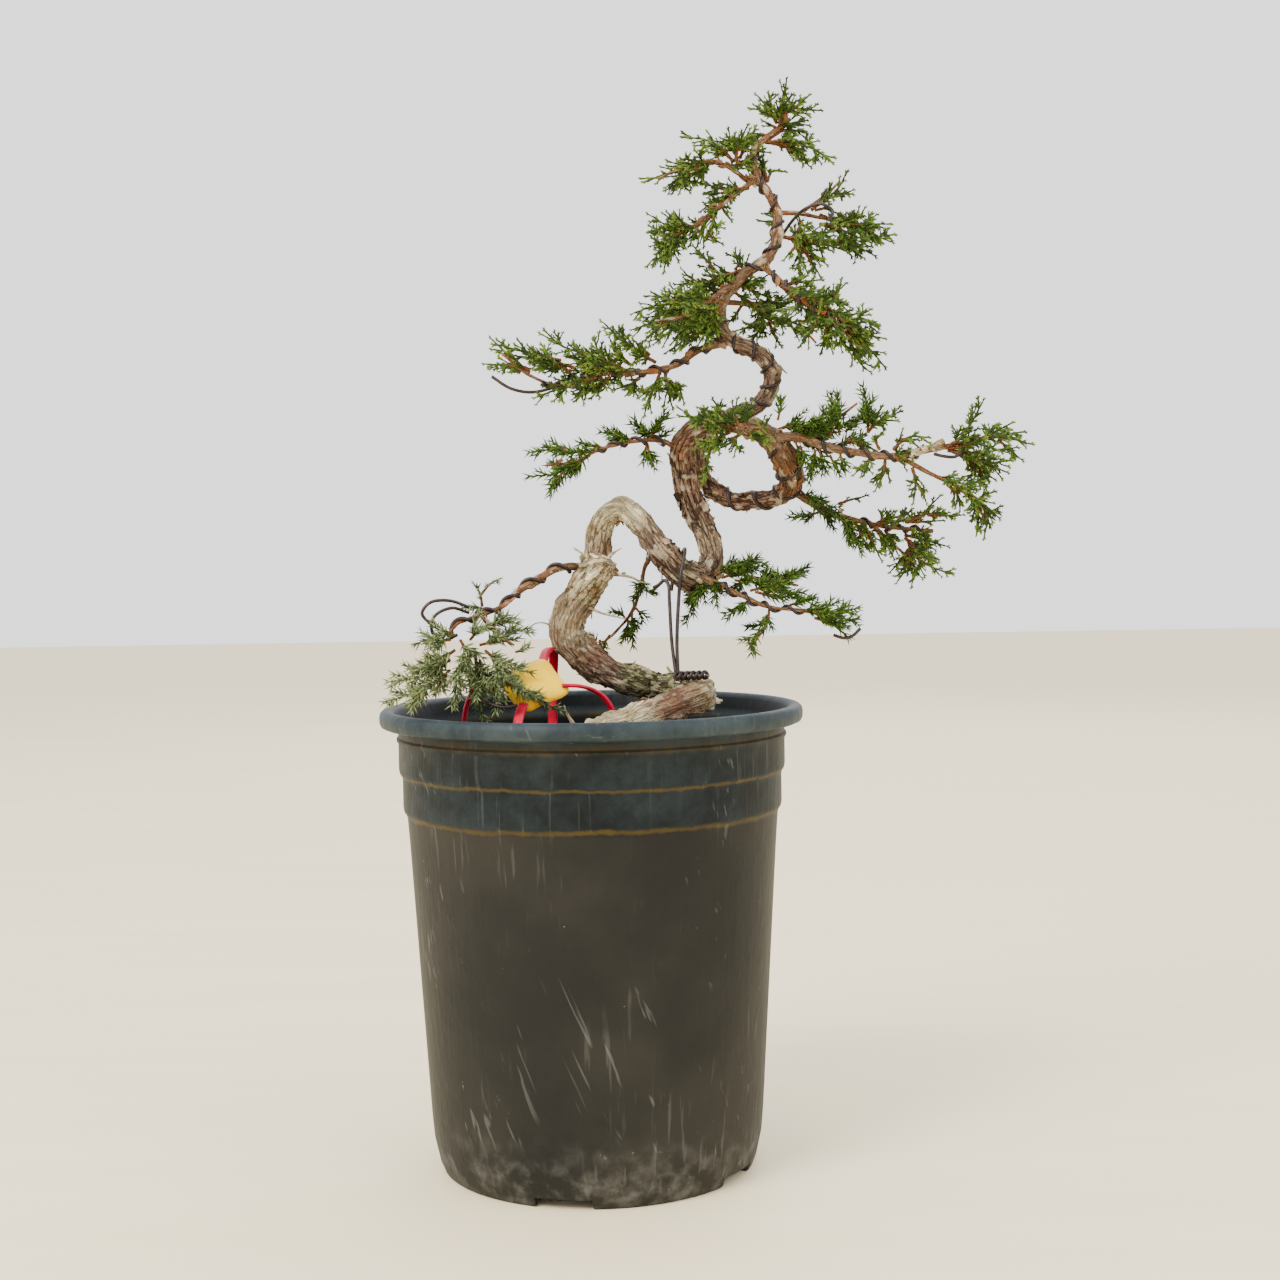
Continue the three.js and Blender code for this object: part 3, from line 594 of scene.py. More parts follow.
# %% Routes of the trunk and the branches
ROUTES = {
    "trunk": [(-17, -32, -12, 6.2), (-15, -34, -1, 6.4), (-8, -36, 8, 6.4), (4, -35, 13.5, 6.4), (16,
        -32, 18, 6.3), (28, -27, 22, 6.3), (38, -19, 25, 6.2), (42, -8, 26, 6.2), (39, 4, 27.5, 6), (28,
        9, 27.5, 5.8), (18, 10, 30, 5.8), (7, 8, 34, 6.2), (-3, 5, 41, 6.8), (-9, 2, 50, 7), (-7, 0, 59,
        6.8), (-1, 0, 68, 6.2), (3, 2, 77, 5.3), (4, 4, 87, 4.9), (7, 3, 95, 4.8), (13, 1, 98.5, 4.8),
        (18, -1, 95, 4.9), (23, -3, 89, 5), (29, -5, 80, 5.2), (36, -4, 73, 5.4), (43, 1, 71.5, 5), (48,
        6, 78, 4.8), (46, 8, 88, 4.7), (41, 8, 100, 4.7), (38, 6, 111, 4.6), (37, 2, 121, 4.5), (41, -4,
        128, 4.4), (49, -9, 131, 4.3), (59, -12, 130, 4.3), (70, -12, 125, 4.3), (76.5, -9, 117, 4.6),
        (79, -3, 109, 4.6), (76, 4, 103.5, 3.6), (67, 10, 101, 3.2), (56, 14, 102, 3.2), (47, 17.5, 108,
        3.2), (43.5, 18, 117, 3.1), (44, 16, 125, 3.1), (50, 11, 131, 3.1), (60, 6, 135, 3.2), (68, 4.5,
        139, 3.1), (72, 3, 146, 3.1), (70.5, 1, 154, 3), (65, 0, 159, 2.9), (58, 0, 162, 2.7), (53, 2,
        168, 2.5), (53, 4, 176, 2.3), (57, 3, 183, 2.1), (63, 0, 189, 2), (70, -2, 193, 2), (74, -1,
        200, 1.9), (75, 0, 206, 1.8), (75, 2, 213, 1.7), (72, 2, 219, 1.6), (68, 1, 225, 1.5), (66, 0,
        231, 1.4), (67, 0, 237, 1.3), (72, 2, 241, 1.2), (78, 3, 246, 1.1), (79, 3, 253, 1)],
    "stump": [(-5, 0, 62, 6.6), (0, -5, 70, 7.2), (6, -10, 77.5, 6.2)],
    "branchTopLeft": [(69, 2, 223, 1.3), (64, 0, 224, 1.3), (59, -4, 227, 1.2), (50, -10, 230, 1), (39,
        -15, 227, 0.9), (29, -18, 222, 0.8)],
    "branchHangingLeft": [(67, 0, 225, 1.3), (60, -4, 219, 1.1), (51, -10, 212, 1), (42, -13, 205, 0.9),
        (32, -15, 200, 0.8)],
    "branchUpperRight": [(75, 2, 212, 1.3), (83, 4, 212, 1.2), (92, 8, 211, 1.1), (105, 14, 209, 0.9),
        (116, 17, 205, 0.8)],
    "twigUpperRight": [(84, 4, 212, 1), (91, 8, 217, 0.9), (97, 12, 222, 0.8), (101, 14, 226, 0.8)],
    "branchDenseFront": [(58, 2.5, 185, 1.5), (53, -8, 181, 1.4), (45, -18, 174, 1.2), (36, -26, 169,
        1), (27, -32, 167, 0.8)],
    "branchDenseBack": [(62, 1, 188, 1.4), (54, 8, 187, 1.2), (43, 16, 185, 1), (33, 20, 181, 0.8)],
    "branchMidRight": [(68, -1.5, 192, 1.5), (76, -8, 184, 1.4), (84, -12, 176, 1.2), (94, -14, 169,
        1.1), (104, -14, 162, 0.9), (110, -14, 156, 0.8)],
    "branchMidRightBack": [(54, 3, 178, 1.4), (64, 12, 178, 1.2), (74, 20, 174, 1), (85, 24, 171, 0.9),
        (92, 26, 164, 0.8)],
    "branchLongLeft": [(57, 0, 163, 2), (44, -4, 159, 1.9), (35, -8, 153, 1.7), (21, -12, 150, 1.5), (6,
        -16, 149, 1.3), (-9, -18, 145, 1.1), (-21, -20, 149, 1), (-31, -22, 157, 0.8)],
    "branchMidLeft": [(37.5, 3, 119, 1.5), (30, -3, 124, 1.3), (19, -10, 124, 1.1), (6, -15, 121, 1),
        (-5, -18, 116, 0.9), (-15, -20, 115, 0.8)],
    "branchRight": [(70, -11.5, 125, 2.4), (81, -18, 124, 2.3), (92, -22, 120, 2.1), (106, -24, 117,
        1.9), (118, -24, 116, 1.8), (129, -22, 118, 1.8), (142, -20, 121, 1.1), (154, -18, 123, 0.9),
        (164, -16, 122, 0.8)],
    "branchRightDroop": [(118, -24, 116, 1.2), (130, -26, 109, 1), (141, -26, 103, 0.9), (149, -25, 94,
        0.8), (151, -24, 89, 0.8)],
    "twigRightUp": [(86, -20, 123, 1.1), (96, -14, 131, 0.9), (104, -11, 137, 0.8)],
    "branchRingTop": [(48, -8.5, 131, 1.2), (53, -18, 130, 1), (60, -26, 128, 0.9), (66, -30, 127,
        0.8)],
    "branchRightLow": [(77.5, 1.5, 106, 1.8), (88, 6, 99, 1.6), (101, 12, 94, 1.5), (118, 16, 90, 1.5),
        (137, 18, 88, 1.5)],
    "twigRightLow": [(111, 14, 92, 1), (123, 16, 81, 0.9), (131, 17, 74, 0.8)],
    "branchBottomRight": [(41, -1, 73, 1.8), (49, -9, 69, 1.5), (59, -14, 64, 1.3), (68, -18, 60, 1.2),
        (82, -20, 58, 1), (95, -20, 55, 0.8)],
    "branchBottomBack": [(46, 3.5, 75, 1.4), (59, 10, 72, 1.1), (68, 14, 70, 1), (83, 18, 67, 0.8)],
    "branchInner": [(27, -4, 83, 1.4), (22, 6, 76, 1.2), (20, 12, 67, 1.1), (16, 17, 57, 1), (9, 18, 49,
        0.9), (2, 17, 43, 0.8)],
    "branchBottomLeft": [(2, 1, 75.5, 2), (-10, -8, 76, 1.9), (-19, -13, 72, 1.8), (-27, -19, 67, 1.7),
        (-32, -26, 62, 1.5), (-40, -34, 59, 1.4), (-48, -42, 56, 1.2), (-51, -48, 52, 1.1)],
    "branchOverMarker": [(-40, -34, 59, 1.1), (-33, -41, 52, 1), (-27, -45, 48, 0.8)],
}


# %% Follow a route
def followed(route, step):
    """Points a step apart along the curve through a route, their radii, and their place on it."""
    knots = np.array(route, float)
    spots = knots[:, :3]
    ends = np.vstack([2 * spots[0] - spots[1], spots, 2 * spots[-1] - spots[-2]])
    fine = []
    share = np.linspace(0, 1, 16, endpoint=False)[:, None]
    for index in range(len(spots) - 1):
        p0, p1, p2, p3 = ends[index:index + 4]
        d0, d1, d2 = (np.linalg.norm(b - a) ** 0.5 for a, b in ((p0, p1), (p1, p2), (p2, p3)))
        lead = ((p1 - p0) / d0 - (p2 - p0) / (d0 + d1) + (p2 - p1) / d1) * d1
        trail = ((p2 - p1) / d1 - (p3 - p1) / (d1 + d2) + (p3 - p2) / d2) * d1
        bend = -3 * p1 + 3 * p2 - 2 * lead - trail
        twist = 2 * p1 - 2 * p2 + lead + trail
        places = p1 + lead * share + bend * share ** 2 + twist * share ** 3
        thick = knots[index, 3] + (knots[index + 1, 3] - knots[index, 3]) * share
        fine.append(np.hstack([places, thick, index + share]))
    fine.append(np.array([[*knots[-1], len(spots) - 1]]))
    fine = np.vstack(fine)
    run = np.concatenate([[0], np.cumsum(np.linalg.norm(np.diff(fine[:, :3], axis=0), axis=1))])
    count = max(3, int(round(run[-1] / step)) + 1)
    wanted = np.linspace(0, run[-1], count)
    table = np.array([np.interp(wanted, run, fine[:, column]) for column in range(5)]).T
    return table[:, :3], table[:, 3], table[:, 4], wanted


def carried(points):
    """Directions along a line of points, and two sideways ones that don't twist on the way."""
    ahead = np.gradient(points, axis=0)
    ahead /= np.linalg.norm(ahead, axis=1)[:, None]
    side = np.cross(ahead[0], (0, 0, 1) if abs(ahead[0][2]) < 0.9 else (0, 1, 0))
    sides = []
    for direction in ahead:
        side = side - direction * np.dot(side, direction)
        side = side / np.linalg.norm(side)
        sides.append(side)
    sides = np.array(sides)
    return ahead, sides, np.cross(ahead, sides)


def tube(points, reach):
    """A closed tube: reach gives the radius at every point (rows) and every angle (columns)."""
    ahead, side, up = carried(points)
    count, around = reach.shape
    angle = tau * np.arange(around) / around
    ring = (side[:, None] * np.cos(angle)[None, :, None] + up[:, None] * np.sin(angle)[None, :, None])
    corners = (points[:, None] + ring * reach[:, :, None]).reshape(-1, 3)
    corners = np.vstack([corners, points[0] - ahead[0] * reach[0].mean() * 0.35,
                         points[-1] + ahead[-1] * reach[-1].mean() * 0.35])
    faces = []
    for row in range(count - 1):
        for turn in range(around):
            a, b = row * around + turn, row * around + (turn + 1) % around
            faces.append((a, b, b + around, a + around))
    first, last, start = count * around, count * around + 1, (count - 1) * around
    for turn in range(around):
        after = (turn + 1) % around
        faces.append((first, after, turn))
        faces.append((last, start + turn, start + after))
    return corners, faces, ahead


trunk_points = followed(ROUTES["trunk"], 1.0)[0]
print("the trunk is", round(len(trunk_points)), "mm long")

# %% [markdown]
# ## Trunk and branches
#
# Juniper bark is thin and stringy. It runs along the stem in strips, splits over the bends, and lifts
# in flakes; where the stem was bent hard it is swollen and pale. Sculpting could do this, but the
# relief follows a rule: it is stretched along the stem. So each tube is swept along its route, and
# its radius is moved in and out by noise that is read in the stem's own directions, round and along.
# The same directions are stored on the corners, so that the colour runs along the stem as well.

# %% Bark relief
def bark_reach(radius, place, run, around, seed, rough):
    """Radius of a barked stem at every point and angle, and a depth value for each spot (0 to 1), low in
    hollows and high on ridges, from which the bark colour paints shade and highlight.
    """
    reach = np.zeros((len(radius), around))
    depth = np.zeros_like(reach)
    for row, (thick, along) in enumerate(zip(radius, run)):
        for turn in range(around):
            angle = tau * turn / around + along * 0.022
            x, y = thick * cos(angle), thick * sin(angle)
            lumps = noise.noise(Vector((x * 0.16, y * 0.16, along * 0.1 + seed)))
            strips = noise.noise(Vector((x * 0.85, y * 0.85, along * 0.09 + seed)))
            shreds = noise.noise(Vector((x * 1.7, y * 1.7, along * 0.32 + seed)))
            pits = noise.noise(Vector((x * 2.6, y * 2.6, along * 1.4 + seed)))
            ridge = 1 - 2 * abs(strips)
            plates = noise.noise(Vector((x * 0.5, y * 0.5, along * 0.22 + seed + 5)))
            torn = max(0.0, plates - 0.12) * 2.2
            push = lumps * 0.24 * min(thick, 5) + rough * (ridge * 0.3 + shreds * 0.42 + pits * 0.3 + torn)
            reach[row, turn] = push
            depth[row, turn] = 0.45 + ridge * 0.16 + shreds * 0.36 + pits * 0.3 + torn * 0.5
    return radius[:, None] + reach, depth.clip(0, 1)


def bump_at(place, spot, width):
    return np.exp(-((place - spot) / width) ** 2)


TRUNK_SLIMMING, BRANCH_SLIMMING = 0.91, 0.78  # bark relief makes up the rest of the frame's radius


def wood_radius(name, radius, place):
    """The radius of bare wood: slimmer than the frame's, swollen at knuckles, fine at branch tips."""
    if name == "stump":
        return radius * TRUNK_SLIMMING
    if name != "trunk":
        return radius * BRANCH_SLIMMING * (1 - 0.42 * place / place[-1])
    return radius * TRUNK_SLIMMING + sum(much * bump_at(place, spot, width)
                                         for spot, width, much in KNUCKLES)


KNUCKLES = [(6.8, 0.9, 0.7), (13.6, 1.1, 0.5), (23.4, 0.8, 0.6), (34.3, 0.9, 0.9)]
MOSSY = [(9.2, 2.0, 1.0), (7.8, 1.0, 0.7), (22.8, 1.0, 0.5), (17.6, 1.4, 0.35), (24.6, 1.2, 0.4)]
PALE = [(2.5, 2.6, 0.9), (6.6, 0.8, 0.8), (13.4, 2.2, 0.55), (18.8, 2.4, 0.9), (25.8, 1.2, 0.5)]
AMBER = [(5.4, 0.8, 0.45), (34.4, 1.5, 0.75), (37, 2.0, 0.4), (29.4, 1.0, 0.35)]
FLAKY = [(9.5, 2.8, 1.0), (16.6, 1.6, 0.7), (22.6, 2.4, 0.8), (27.8, 2.8, 1.0), (38.5, 3.4, 0.9),
         (46, 3.2, 0.6)]


def summed(spots, place):
    total = np.zeros_like(place)
    for spot, width, much in spots:
        total += much * bump_at(place, spot, width)
    return total.clip(0, 1)


wood_corners, wood_faces = [], []
stored = {"grain": [], "along": [], "depth": [], "pale": [], "moss": [], "flaky": [], "young": [],
          "amber": []}


DEAD_TWIGS = {
    "snagMiddle": [(9, -5, 73, 0.9), (16, -11, 72, 0.7), (20, -10, 70, 0.55), (24, -9, 69, 0.4)],
    "snagLow": [(-2, -3, 61, 1.1), (3, -5, 58.6, 0.8), (8, -4, 57, 0.6), (14, -3, 55.5, 0.4)],
    "snagCurl": [(-14, -2, 53, 0.6), (-18, -5, 54.6, 0.4), (-21, -7, 54.4, 0.3), (-24, -8, 52.6, 0.2)],
    "snagHigh": [(1, -8, 79, 1.0), (-3.4, -10, 82, 0.7), (-5.6, -11, 83.5, 0.35)],
    "snagTorn": [(8, -12, 80, 1.0), (11, -13, 82, 0.7), (13, -13.5, 83, 0.35)],
    "snagFoot": [(-6, -38, 18, 1.0), (-8, -41, 22, 0.6), (-9, -42.5, 25.4, 0.3)],
    "stubRight": [(122, -23.5, 116.6, 2.0), (129, -22.5, 118.6, 2.0), (135.5, -22, 121.4, 1.9)],
}


def add_stem(name, route, number):
    trunk_like = name in ("trunk", "stump")
    dead = name in DEAD_TWIGS
    points, radius, place, run = followed(route, 0.85 if trunk_like else 1.3)
    around = 44 if name == "trunk" else 36 if trunk_like else 12
    rough = np.clip(radius.mean() / 4.5, 0.16, 1.0)
    radius = wood_radius(name, radius, place)
    reach, depth = bark_reach(radius, place, run, around, number * 7.3, rough)
    if name == "stump":
        torn = bump_at(place, len(route) - 1, 0.35)
        ragged = np.array([noise.noise(Vector((turn * 0.9, 3.1, 0))) for turn in range(around)])
        reach = reach * (1 + torn[:, None] * ragged[None] * 0.35)
    corners, faces, ahead = tube(points, np.maximum(reach, radius[:, None] * 0.55))
    start = sum(len(part) for part in wood_corners)
    wood_corners.append(corners)
    wood_faces.extend(tuple(spot + start for spot in face) for face in faces)
    angle = tau * np.arange(around) / around
    grain = np.stack([radius[:, None] * np.cos(angle), radius[:, None] * np.sin(angle),
                      np.repeat(run[:, None] * 0.16 + number * 11, around, 1)], 2).reshape(-1, 3)
    layers = {
        "grain": grain, "along": np.repeat(ahead, around, 0), "depth": depth.ravel(),
        "pale": np.repeat(summed(PALE, place) if name == "trunk"
                          else place * 0 + (1.0 if name == "stump" else 0.8 if dead else 0.0), around),
        "moss": np.repeat(summed(MOSSY, place) if name == "trunk" else place * 0, around),
        "amber": np.repeat(summed(AMBER, place) if name == "trunk" else place * 0, around),
        "flaky": np.repeat(summed(FLAKY, place) + 0.12 if name == "trunk"
                           else place * 0 + (0.7 if name == "stump" else 0.35), around),
        "young": np.repeat((1 - (radius - 0.9) / 1.9).clip(0, 1) * (not dead), around)}
    for key, numbers in layers.items():
        stored[key].append(np.concatenate([numbers, numbers[:1], numbers[-1:]]))


for number, (name, route) in enumerate({**ROUTES, **DEAD_TWIGS}.items()):
    add_stem(name, route, number)
wood = mesh_piece("trunk_and_branches", (np.vstack(wood_corners) + (0, 0, soil_top / MM)) * MM,
                  wood_faces, {key: np.concatenate(parts) for key, parts in stored.items()})


# %% Bark colour
def bark_look(net):
    grain = net.stored("grain", "Vector")
    where = net.place()
    depth = net.stored("depth")
    strips = net.noise(grain, 0.9, 6, 0.62)
    cloud = net.noise(where, 42, 4)
    patch = net.noise(where, 130, 5, 0.7)
    bent = net.add("ShaderNodeVectorMath", {"operation": "ADD"}, {0: grain, 1: net.stretched(
        net.add("ShaderNodeTexNoise", {}, {"Vector": grain, "Scale": 1.6}, "Color"), (0.9, 0.9, 0.5))})
    plates = net.cracks(bent, 0.42)
    chips = net.cracks(bent, 1.1)
    split = (1 - plates.above(0.02, 0.13)) * 0.9 + (1 - chips.above(0.02, 0.12)) * 0.6
    fine = net.noise(grain, 4.5, 4, 0.6)
    colour = net.mix(strips.above(0.36, 0.64), rgb("5d4434"), rgb("ac937b"))
    colour = net.mix(cloud.above(0.46, 0.62) * 0.7, colour, rgb("8a604c"))
    colour = net.mix(patch.above(0.52, 0.64) * 0.6, colour, rgb("cbb592"))
    light = net.mix(patch.above(0.38, 0.6), rgb("a08358"), rgb("e0d2aa"))
    colour = net.mix((net.stored("pale") * (0.5 + cloud * 0.9)).above(0.3, 0.7), colour, light)
    green = net.mix(fine.above(0.4, 0.62), rgb("625f3c"), rgb("a8a477"))
    colour = net.mix((net.stored("moss") * (cloud + patch * 0.6)).above(0.3, 0.6), colour, green)
    amber = net.mix(fine.above(0.35, 0.65), rgb("5f3a22"), rgb("9c6436"))
    colour = net.mix(net.stored("amber") * patch.above(0.3, 0.5), colour, amber)
    fresh = net.mix(fine.above(0.35, 0.65), rgb("4f3220"), rgb("93683f"))
    fresh = net.mix(cloud.above(0.55, 0.66), fresh, rgb("a65f2b"))
    colour = net.mix(net.stored("young") * 0.85, colour, fresh)
    # Painted shade: bark with a low depth value, which is pushed in, is painted near-black in its hollows.
    colour = net.mix((1 - depth.above(0.14, 0.4)) * 0.85, colour, rgb("21150e"))
    colour = net.mix((1 - patch.above(0.28, 0.4)) * 0.7, colour, rgb("2d1e15"))
    old = (1 - net.stored("young")) * (0.35 + net.stored("flaky") * 0.65)
    # Painted shade: the cracks between bark plates are painted dark, most on old, flaky bark, as shadow
    # under lifting edges.
    colour = net.mix(split.above(0.2, 0.9) * old * 0.8, colour, rgb("22160f"))
    # Painted highlight: bark with the highest depth value, which stands out furthest, is painted pale.
    colour = net.mix(depth.above(0.7, 0.95) * 0.45, colour, rgb("d8c9ab"))
    return {"Base Color": colour, "Roughness": 0.72 + fine * 0.2,
            "Bump": (strips + fine * 0.7 + patch * 0.8 - split * 0.7, 0.001)}


bark_finish = finish("juniper_bark", bark_look, Specular_IOR_Level=0.1)
wood.data.materials.append(bark_finish)
settle(wood, "bark", "juniper_wood")

# %% [markdown]
# ## Lifting flakes of bark
#
# Old bark curls away from the stem in small plates. They are loose little shapes on a surface, so a
# tree spreads points over the wood, more where the bark is old, and puts a curved plate on each one.
# A plate lies along the stem and tips up at one end. Three plates would repeat no less than one does,
# because each copy has its own length, width and lift.

# %% Bark flakes
FLAKE_ROWS = 5


def curved_plate():
    """A thin closed plate along X, two units long, that curls up towards its end."""
    corners = []
    for row in range(FLAKE_ROWS):
        along = row / (FLAKE_ROWS - 1)
        width = 0.62 * (1 - 0.35 * along ** 3) * (0.75 if row == 0 else 1)
        rise = 0.05 + 0.5 * along ** 2
        wave = 0.12 * sin(5 * along)
        for across, lift in ((-1, 0.07), (0, 0.16), (1, 0.07), (1, 0.0), (0, 0.08), (-1, 0.0)):
            corners.append((2 * along - 0.4, across * width + wave, rise + lift))
    faces = []
    for row in range(FLAKE_ROWS - 1):
        for edge in range(6):
            a, b = row * 6 + edge, row * 6 + (edge + 1) % 6
            faces.append((a, a + 6, b + 6, b))
    faces.append(tuple(range(6)))
    faces.append(tuple(range(len(corners) - 1, len(corners) - 7, -1)))
    return corners, faces


net, given, close = new_tree("bark_flakes", {
    "Flake": "Object", "Density": "Float", "Shortest": "Float", "Longest": "Float", "Seed": "Int",
    "Material": "Material"})
flaky = net.add("GeometryNodeInputNamedAttribute", {"data_type": "FLOAT"}, {"Name": "flaky"})
along = net.add("GeometryNodeInputNamedAttribute", {"data_type": "FLOAT_VECTOR"}, {"Name": "along"})
cluster = net.noise(net.add("GeometryNodeInputPosition"), 60, 2).above(0.42, 0.58)
node = net.add("GeometryNodeDistributePointsOnFaces", {}, {
    "Mesh": given["Geometry"], "Density": given["Density"] * flaky * cluster, "Seed": given["Seed"]})
outward = Link(net, node.socket.node.outputs["Normal"])
sign = random_number(net, -1.0, 1.0, 8).above(-0.01, 0.01) * 2 - 1
down_stem = net.add("ShaderNodeVectorMath", {"operation": "SCALE"}, {0: along, "Scale": sign})
lie = net.add("FunctionNodeAlignRotationToVector", {"axis": "Z"}, {"Vector": outward})
lie = net.add("FunctionNodeAlignRotationToVector", {"axis": "X", "pivot_axis": "Z"},
              {"Rotation": lie, "Vector": down_stem})
tip_up = net.add("FunctionNodeEulerToRotation", {}, {
    "Euler": random_vector(net, (-0.3, -0.55, -0.5), (0.3, 0.1, 0.5), 9)})
lie = net.add("FunctionNodeRotateRotation", {"rotation_space": "LOCAL"},
              {"Rotation": lie, "Rotate By": tip_up})
flake = net.add("GeometryNodeObjectInfo", {}, {"Object": given["Flake"]}, "Geometry")
size = net.add("ShaderNodeVectorMath", {"operation": "SCALE"}, {
    0: random_vector(net, (0.6, 0.7, 0.6), (1.2, 1.7, 1.2), 10),
    "Scale": random_number(net, given["Shortest"], given["Longest"], 11)})
flakes = net.add("GeometryNodeInstanceOnPoints", {}, {"Points": node, "Instance": flake,
                                                      "Rotation": lie, "Scale": size})
bark_flakes = close(flakes)

flakes = bpy.data.objects.new("bark_flakes", wood.data.copy())
bpy.context.scene.collection.objects.link(flakes)
flakes = grown(flakes, bark_flakes, {
    "Flake": spare("plate", *curved_plate()), "Density": 62000.0, "Shortest": 0.9 * MM,
    "Longest": 1.9 * MM, "Seed": 4, "Material": bark_finish})
settle(flakes, "bark")

# %% [markdown]
# ## Wires
#
# The grower has wound soft dark wire round the branches in an open spiral. Each one starts and ends
# at known places on its branch. A wire follows a path, so a tree takes the branch's own line, moves
# it sideways in a spiral that just clears the bark, and sweeps a round section along it.

# %% Winding tree
net, given, close = new_tree("wound_wire", {
    "Turns": "Float", "Clearance": "Float", "Wire Radius": "Float", "Start": "Float",
    "Material": "Material"})
stem = net.add("GeometryNodeMeshToCurve", {}, {"Mesh": given["Geometry"]})
stem = net.add("GeometryNodeResampleCurve", {}, {"Curve": stem, "Count": 160})
share = net.add("GeometryNodeSplineParameter")
turning = (share * given["Turns"] + given["Start"]) * tau
thick = net.add("GeometryNodeInputNamedAttribute", {"data_type": "FLOAT"}, {"Name": "thick"})
reach = thick + given["Clearance"] + given["Wire Radius"]
across = net.add("GeometryNodeInputNormal")
ahead = net.add("GeometryNodeInputTangent")
other = net.add("ShaderNodeVectorMath", {"operation": "CROSS_PRODUCT"}, {0: ahead, 1: across})


def scaled(net, vector, amount):
    return net.add("ShaderNodeVectorMath", {"operation": "SCALE"}, {0: vector, "Scale": amount})


cosine = net.add("ShaderNodeMath", {"operation": "COSINE"}, {0: turning})
sine = net.add("ShaderNodeMath", {"operation": "SINE"}, {0: turning})
offset = net.add("ShaderNodeVectorMath", {"operation": "ADD"}, {
    0: scaled(net, across, cosine * reach), 1: scaled(net, other, sine * reach)})
wound = net.add("GeometryNodeSetPosition", {}, {"Geometry": stem, "Offset": offset})
section = net.add("GeometryNodeCurvePrimitiveCircle", {}, {"Resolution": 8, "Radius": given["Wire Radius"]})
swept = net.add("GeometryNodeCurveToMesh", {}, {"Curve": wound, "Profile Curve": section,
                                                "Fill Caps": True})
wound_wire = close(swept)


def wire_look(net):
    where = net.place()
    dull = net.noise(where, 260, 4)
    colour = net.mix(dull.above(0.35, 0.7), rgb("1c1210"), rgb("3a2a26"))
    return {"Base Color": colour, "Roughness": 0.36 + dull * 0.2, "Bump": (dull, 0.00008)}


wire_finish = finish("dark_wire", wire_look, Metallic=0.35)
THIN, THICK = 0.65, 0.75
WINDINGS = {  # branch, from and to on its route, turns, radius, first angle, frame node
    "wire_bottom_left": ("branchBottomLeft", 0.7, 6.6, 5, THICK, 0.2),
    "wire_long_left": ("branchLongLeft", 0.3, 5.6, 8, THIN, 0.5),
    "wire_ring": ("trunk", 33.4, 38.8, 5, THICK, 0.1),
    "wire_upper_trunk": ("trunk", 43.6, 49.6, 6, THIN, 0.7),
    "wire_crown_trunk": ("trunk", 51.6, 60.5, 6.5, THIN, 0.3),
    "wire_right": ("branchRight", 1.2, 4.9, 5.5, THIN, 0.1),
    "wire_right_low": ("branchRightLow", 2.4, 3.95, 4, THIN, 0.6),
    "wire_bottom_right": ("branchBottomRight", 1.0, 4.6, 5, THIN, 0.3),
    "wire_mid_left": ("branchMidLeft", 0.8, 3.2, 3.5, THIN, 0.0),
    "wire_mid_right": ("branchMidRight", 0.6, 3.4, 5, THIN, 0.8),
}
for name, (branch, first, last, turns, thick_wire, start) in WINDINGS.items():
    points, radius, place, _ = followed(ROUTES[branch], 0.8)
    kept = (place >= first) & (place <= last)
    radius = wood_radius(branch, radius, place)
    line = (points[kept] + (0, 0, soil_top / MM)) * MM
    wire = line_piece("round_" + name, [line], {"thick": radius[kept] * MM})
    wire = grown(wire, wound_wire, {
        "Turns": turns, "Clearance": 0.02 * MM, "Wire Radius": thick_wire * MM, "Start": start,
        "Material": wire_finish})
    settle(wire, "wire", name)

# %% [markdown]
# ## Guy wire, loops and loose ends
#
# One wire hangs over the trunk where it dips and is pulled down to the low bend, where its two ends
# are twisted together. A few short ends and loops stand off the branches. These follow routes of
# their own, so the same section is swept along each of them; the twist is a spiral worked out here.

# %% Swept wires
net, given, close = new_tree("round_bar", {"Bar Radius": "Float", "Material": "Material"})
line = net.add("GeometryNodeMeshToCurve", {}, {"Mesh": given["Geometry"]})
section = net.add("GeometryNodeCurvePrimitiveCircle", {}, {"Resolution": 8, "Radius": given["Bar Radius"]})
round_bar = close(net.add("GeometryNodeCurveToMesh", {}, {
    "Curve": line, "Profile Curve": section, "Fill Caps": True}))


def smooth_line(points, step=1.0):
    """A smooth line in metres through points given in millimetres above the soil."""
    route = [(*point, 1.0) for point in points]
    return (followed(route, step)[0] + (0, 0, soil_top / MM)) * MM


def twisted_pair(start, end, turns, apart):
    """Two strands twisted round the straight line between two points."""
    start, end = np.array(start, float), np.array(end, float)
    ahead = (end - start) / np.linalg.norm(end - start)
    side = np.cross(ahead, (0, 0, 1))
    up = np.cross(side, ahead)
    strands = []
    for phase in (0, pi):
        share = np.linspace(0, 1, int(turns * 14))
        angle = phase + share * turns * tau
        strands.append([tuple(start + (end - start) * part + apart * (side * cos(turn) + up * sin(turn)))
                        for part, turn in zip(share, angle)])
    return strands


GUY_FRONT = [(33.8, -16.6, 34), (33.6, -14.8, 47), (34.6, -13.4, 64), (35.5, -13, 73),
             (37.3, -8.6, 81.2), (36.8, 1, 81.6), (33.5, 5.6, 74), (32, 4.6, 66)]
GUY_BACK = [(33, -16.8, 34), (31.6, -13.6, 47), (31, -10.8, 62), (30.6, -8.8, 69), (29.2, -7.8, 70.4),
            (27, -7, 68.6), (25, -6, 67.6)]
twist = twisted_pair((32.2, -17.6, 33.8), (45, -18.8, 34.2), 3.0, 1.3)
guy_lines = [smooth_line(GUY_FRONT), smooth_line(GUY_BACK)]
guy_lines += [(np.array(strand) + (0, 0, soil_top / MM)) * MM for strand in twist]
guy = line_piece("twisted_guy_wire", guy_lines)
settle(grown(guy, round_bar, {"Bar Radius": 0.72 * MM, "Material": wire_finish}), "wire", "guy_wire")

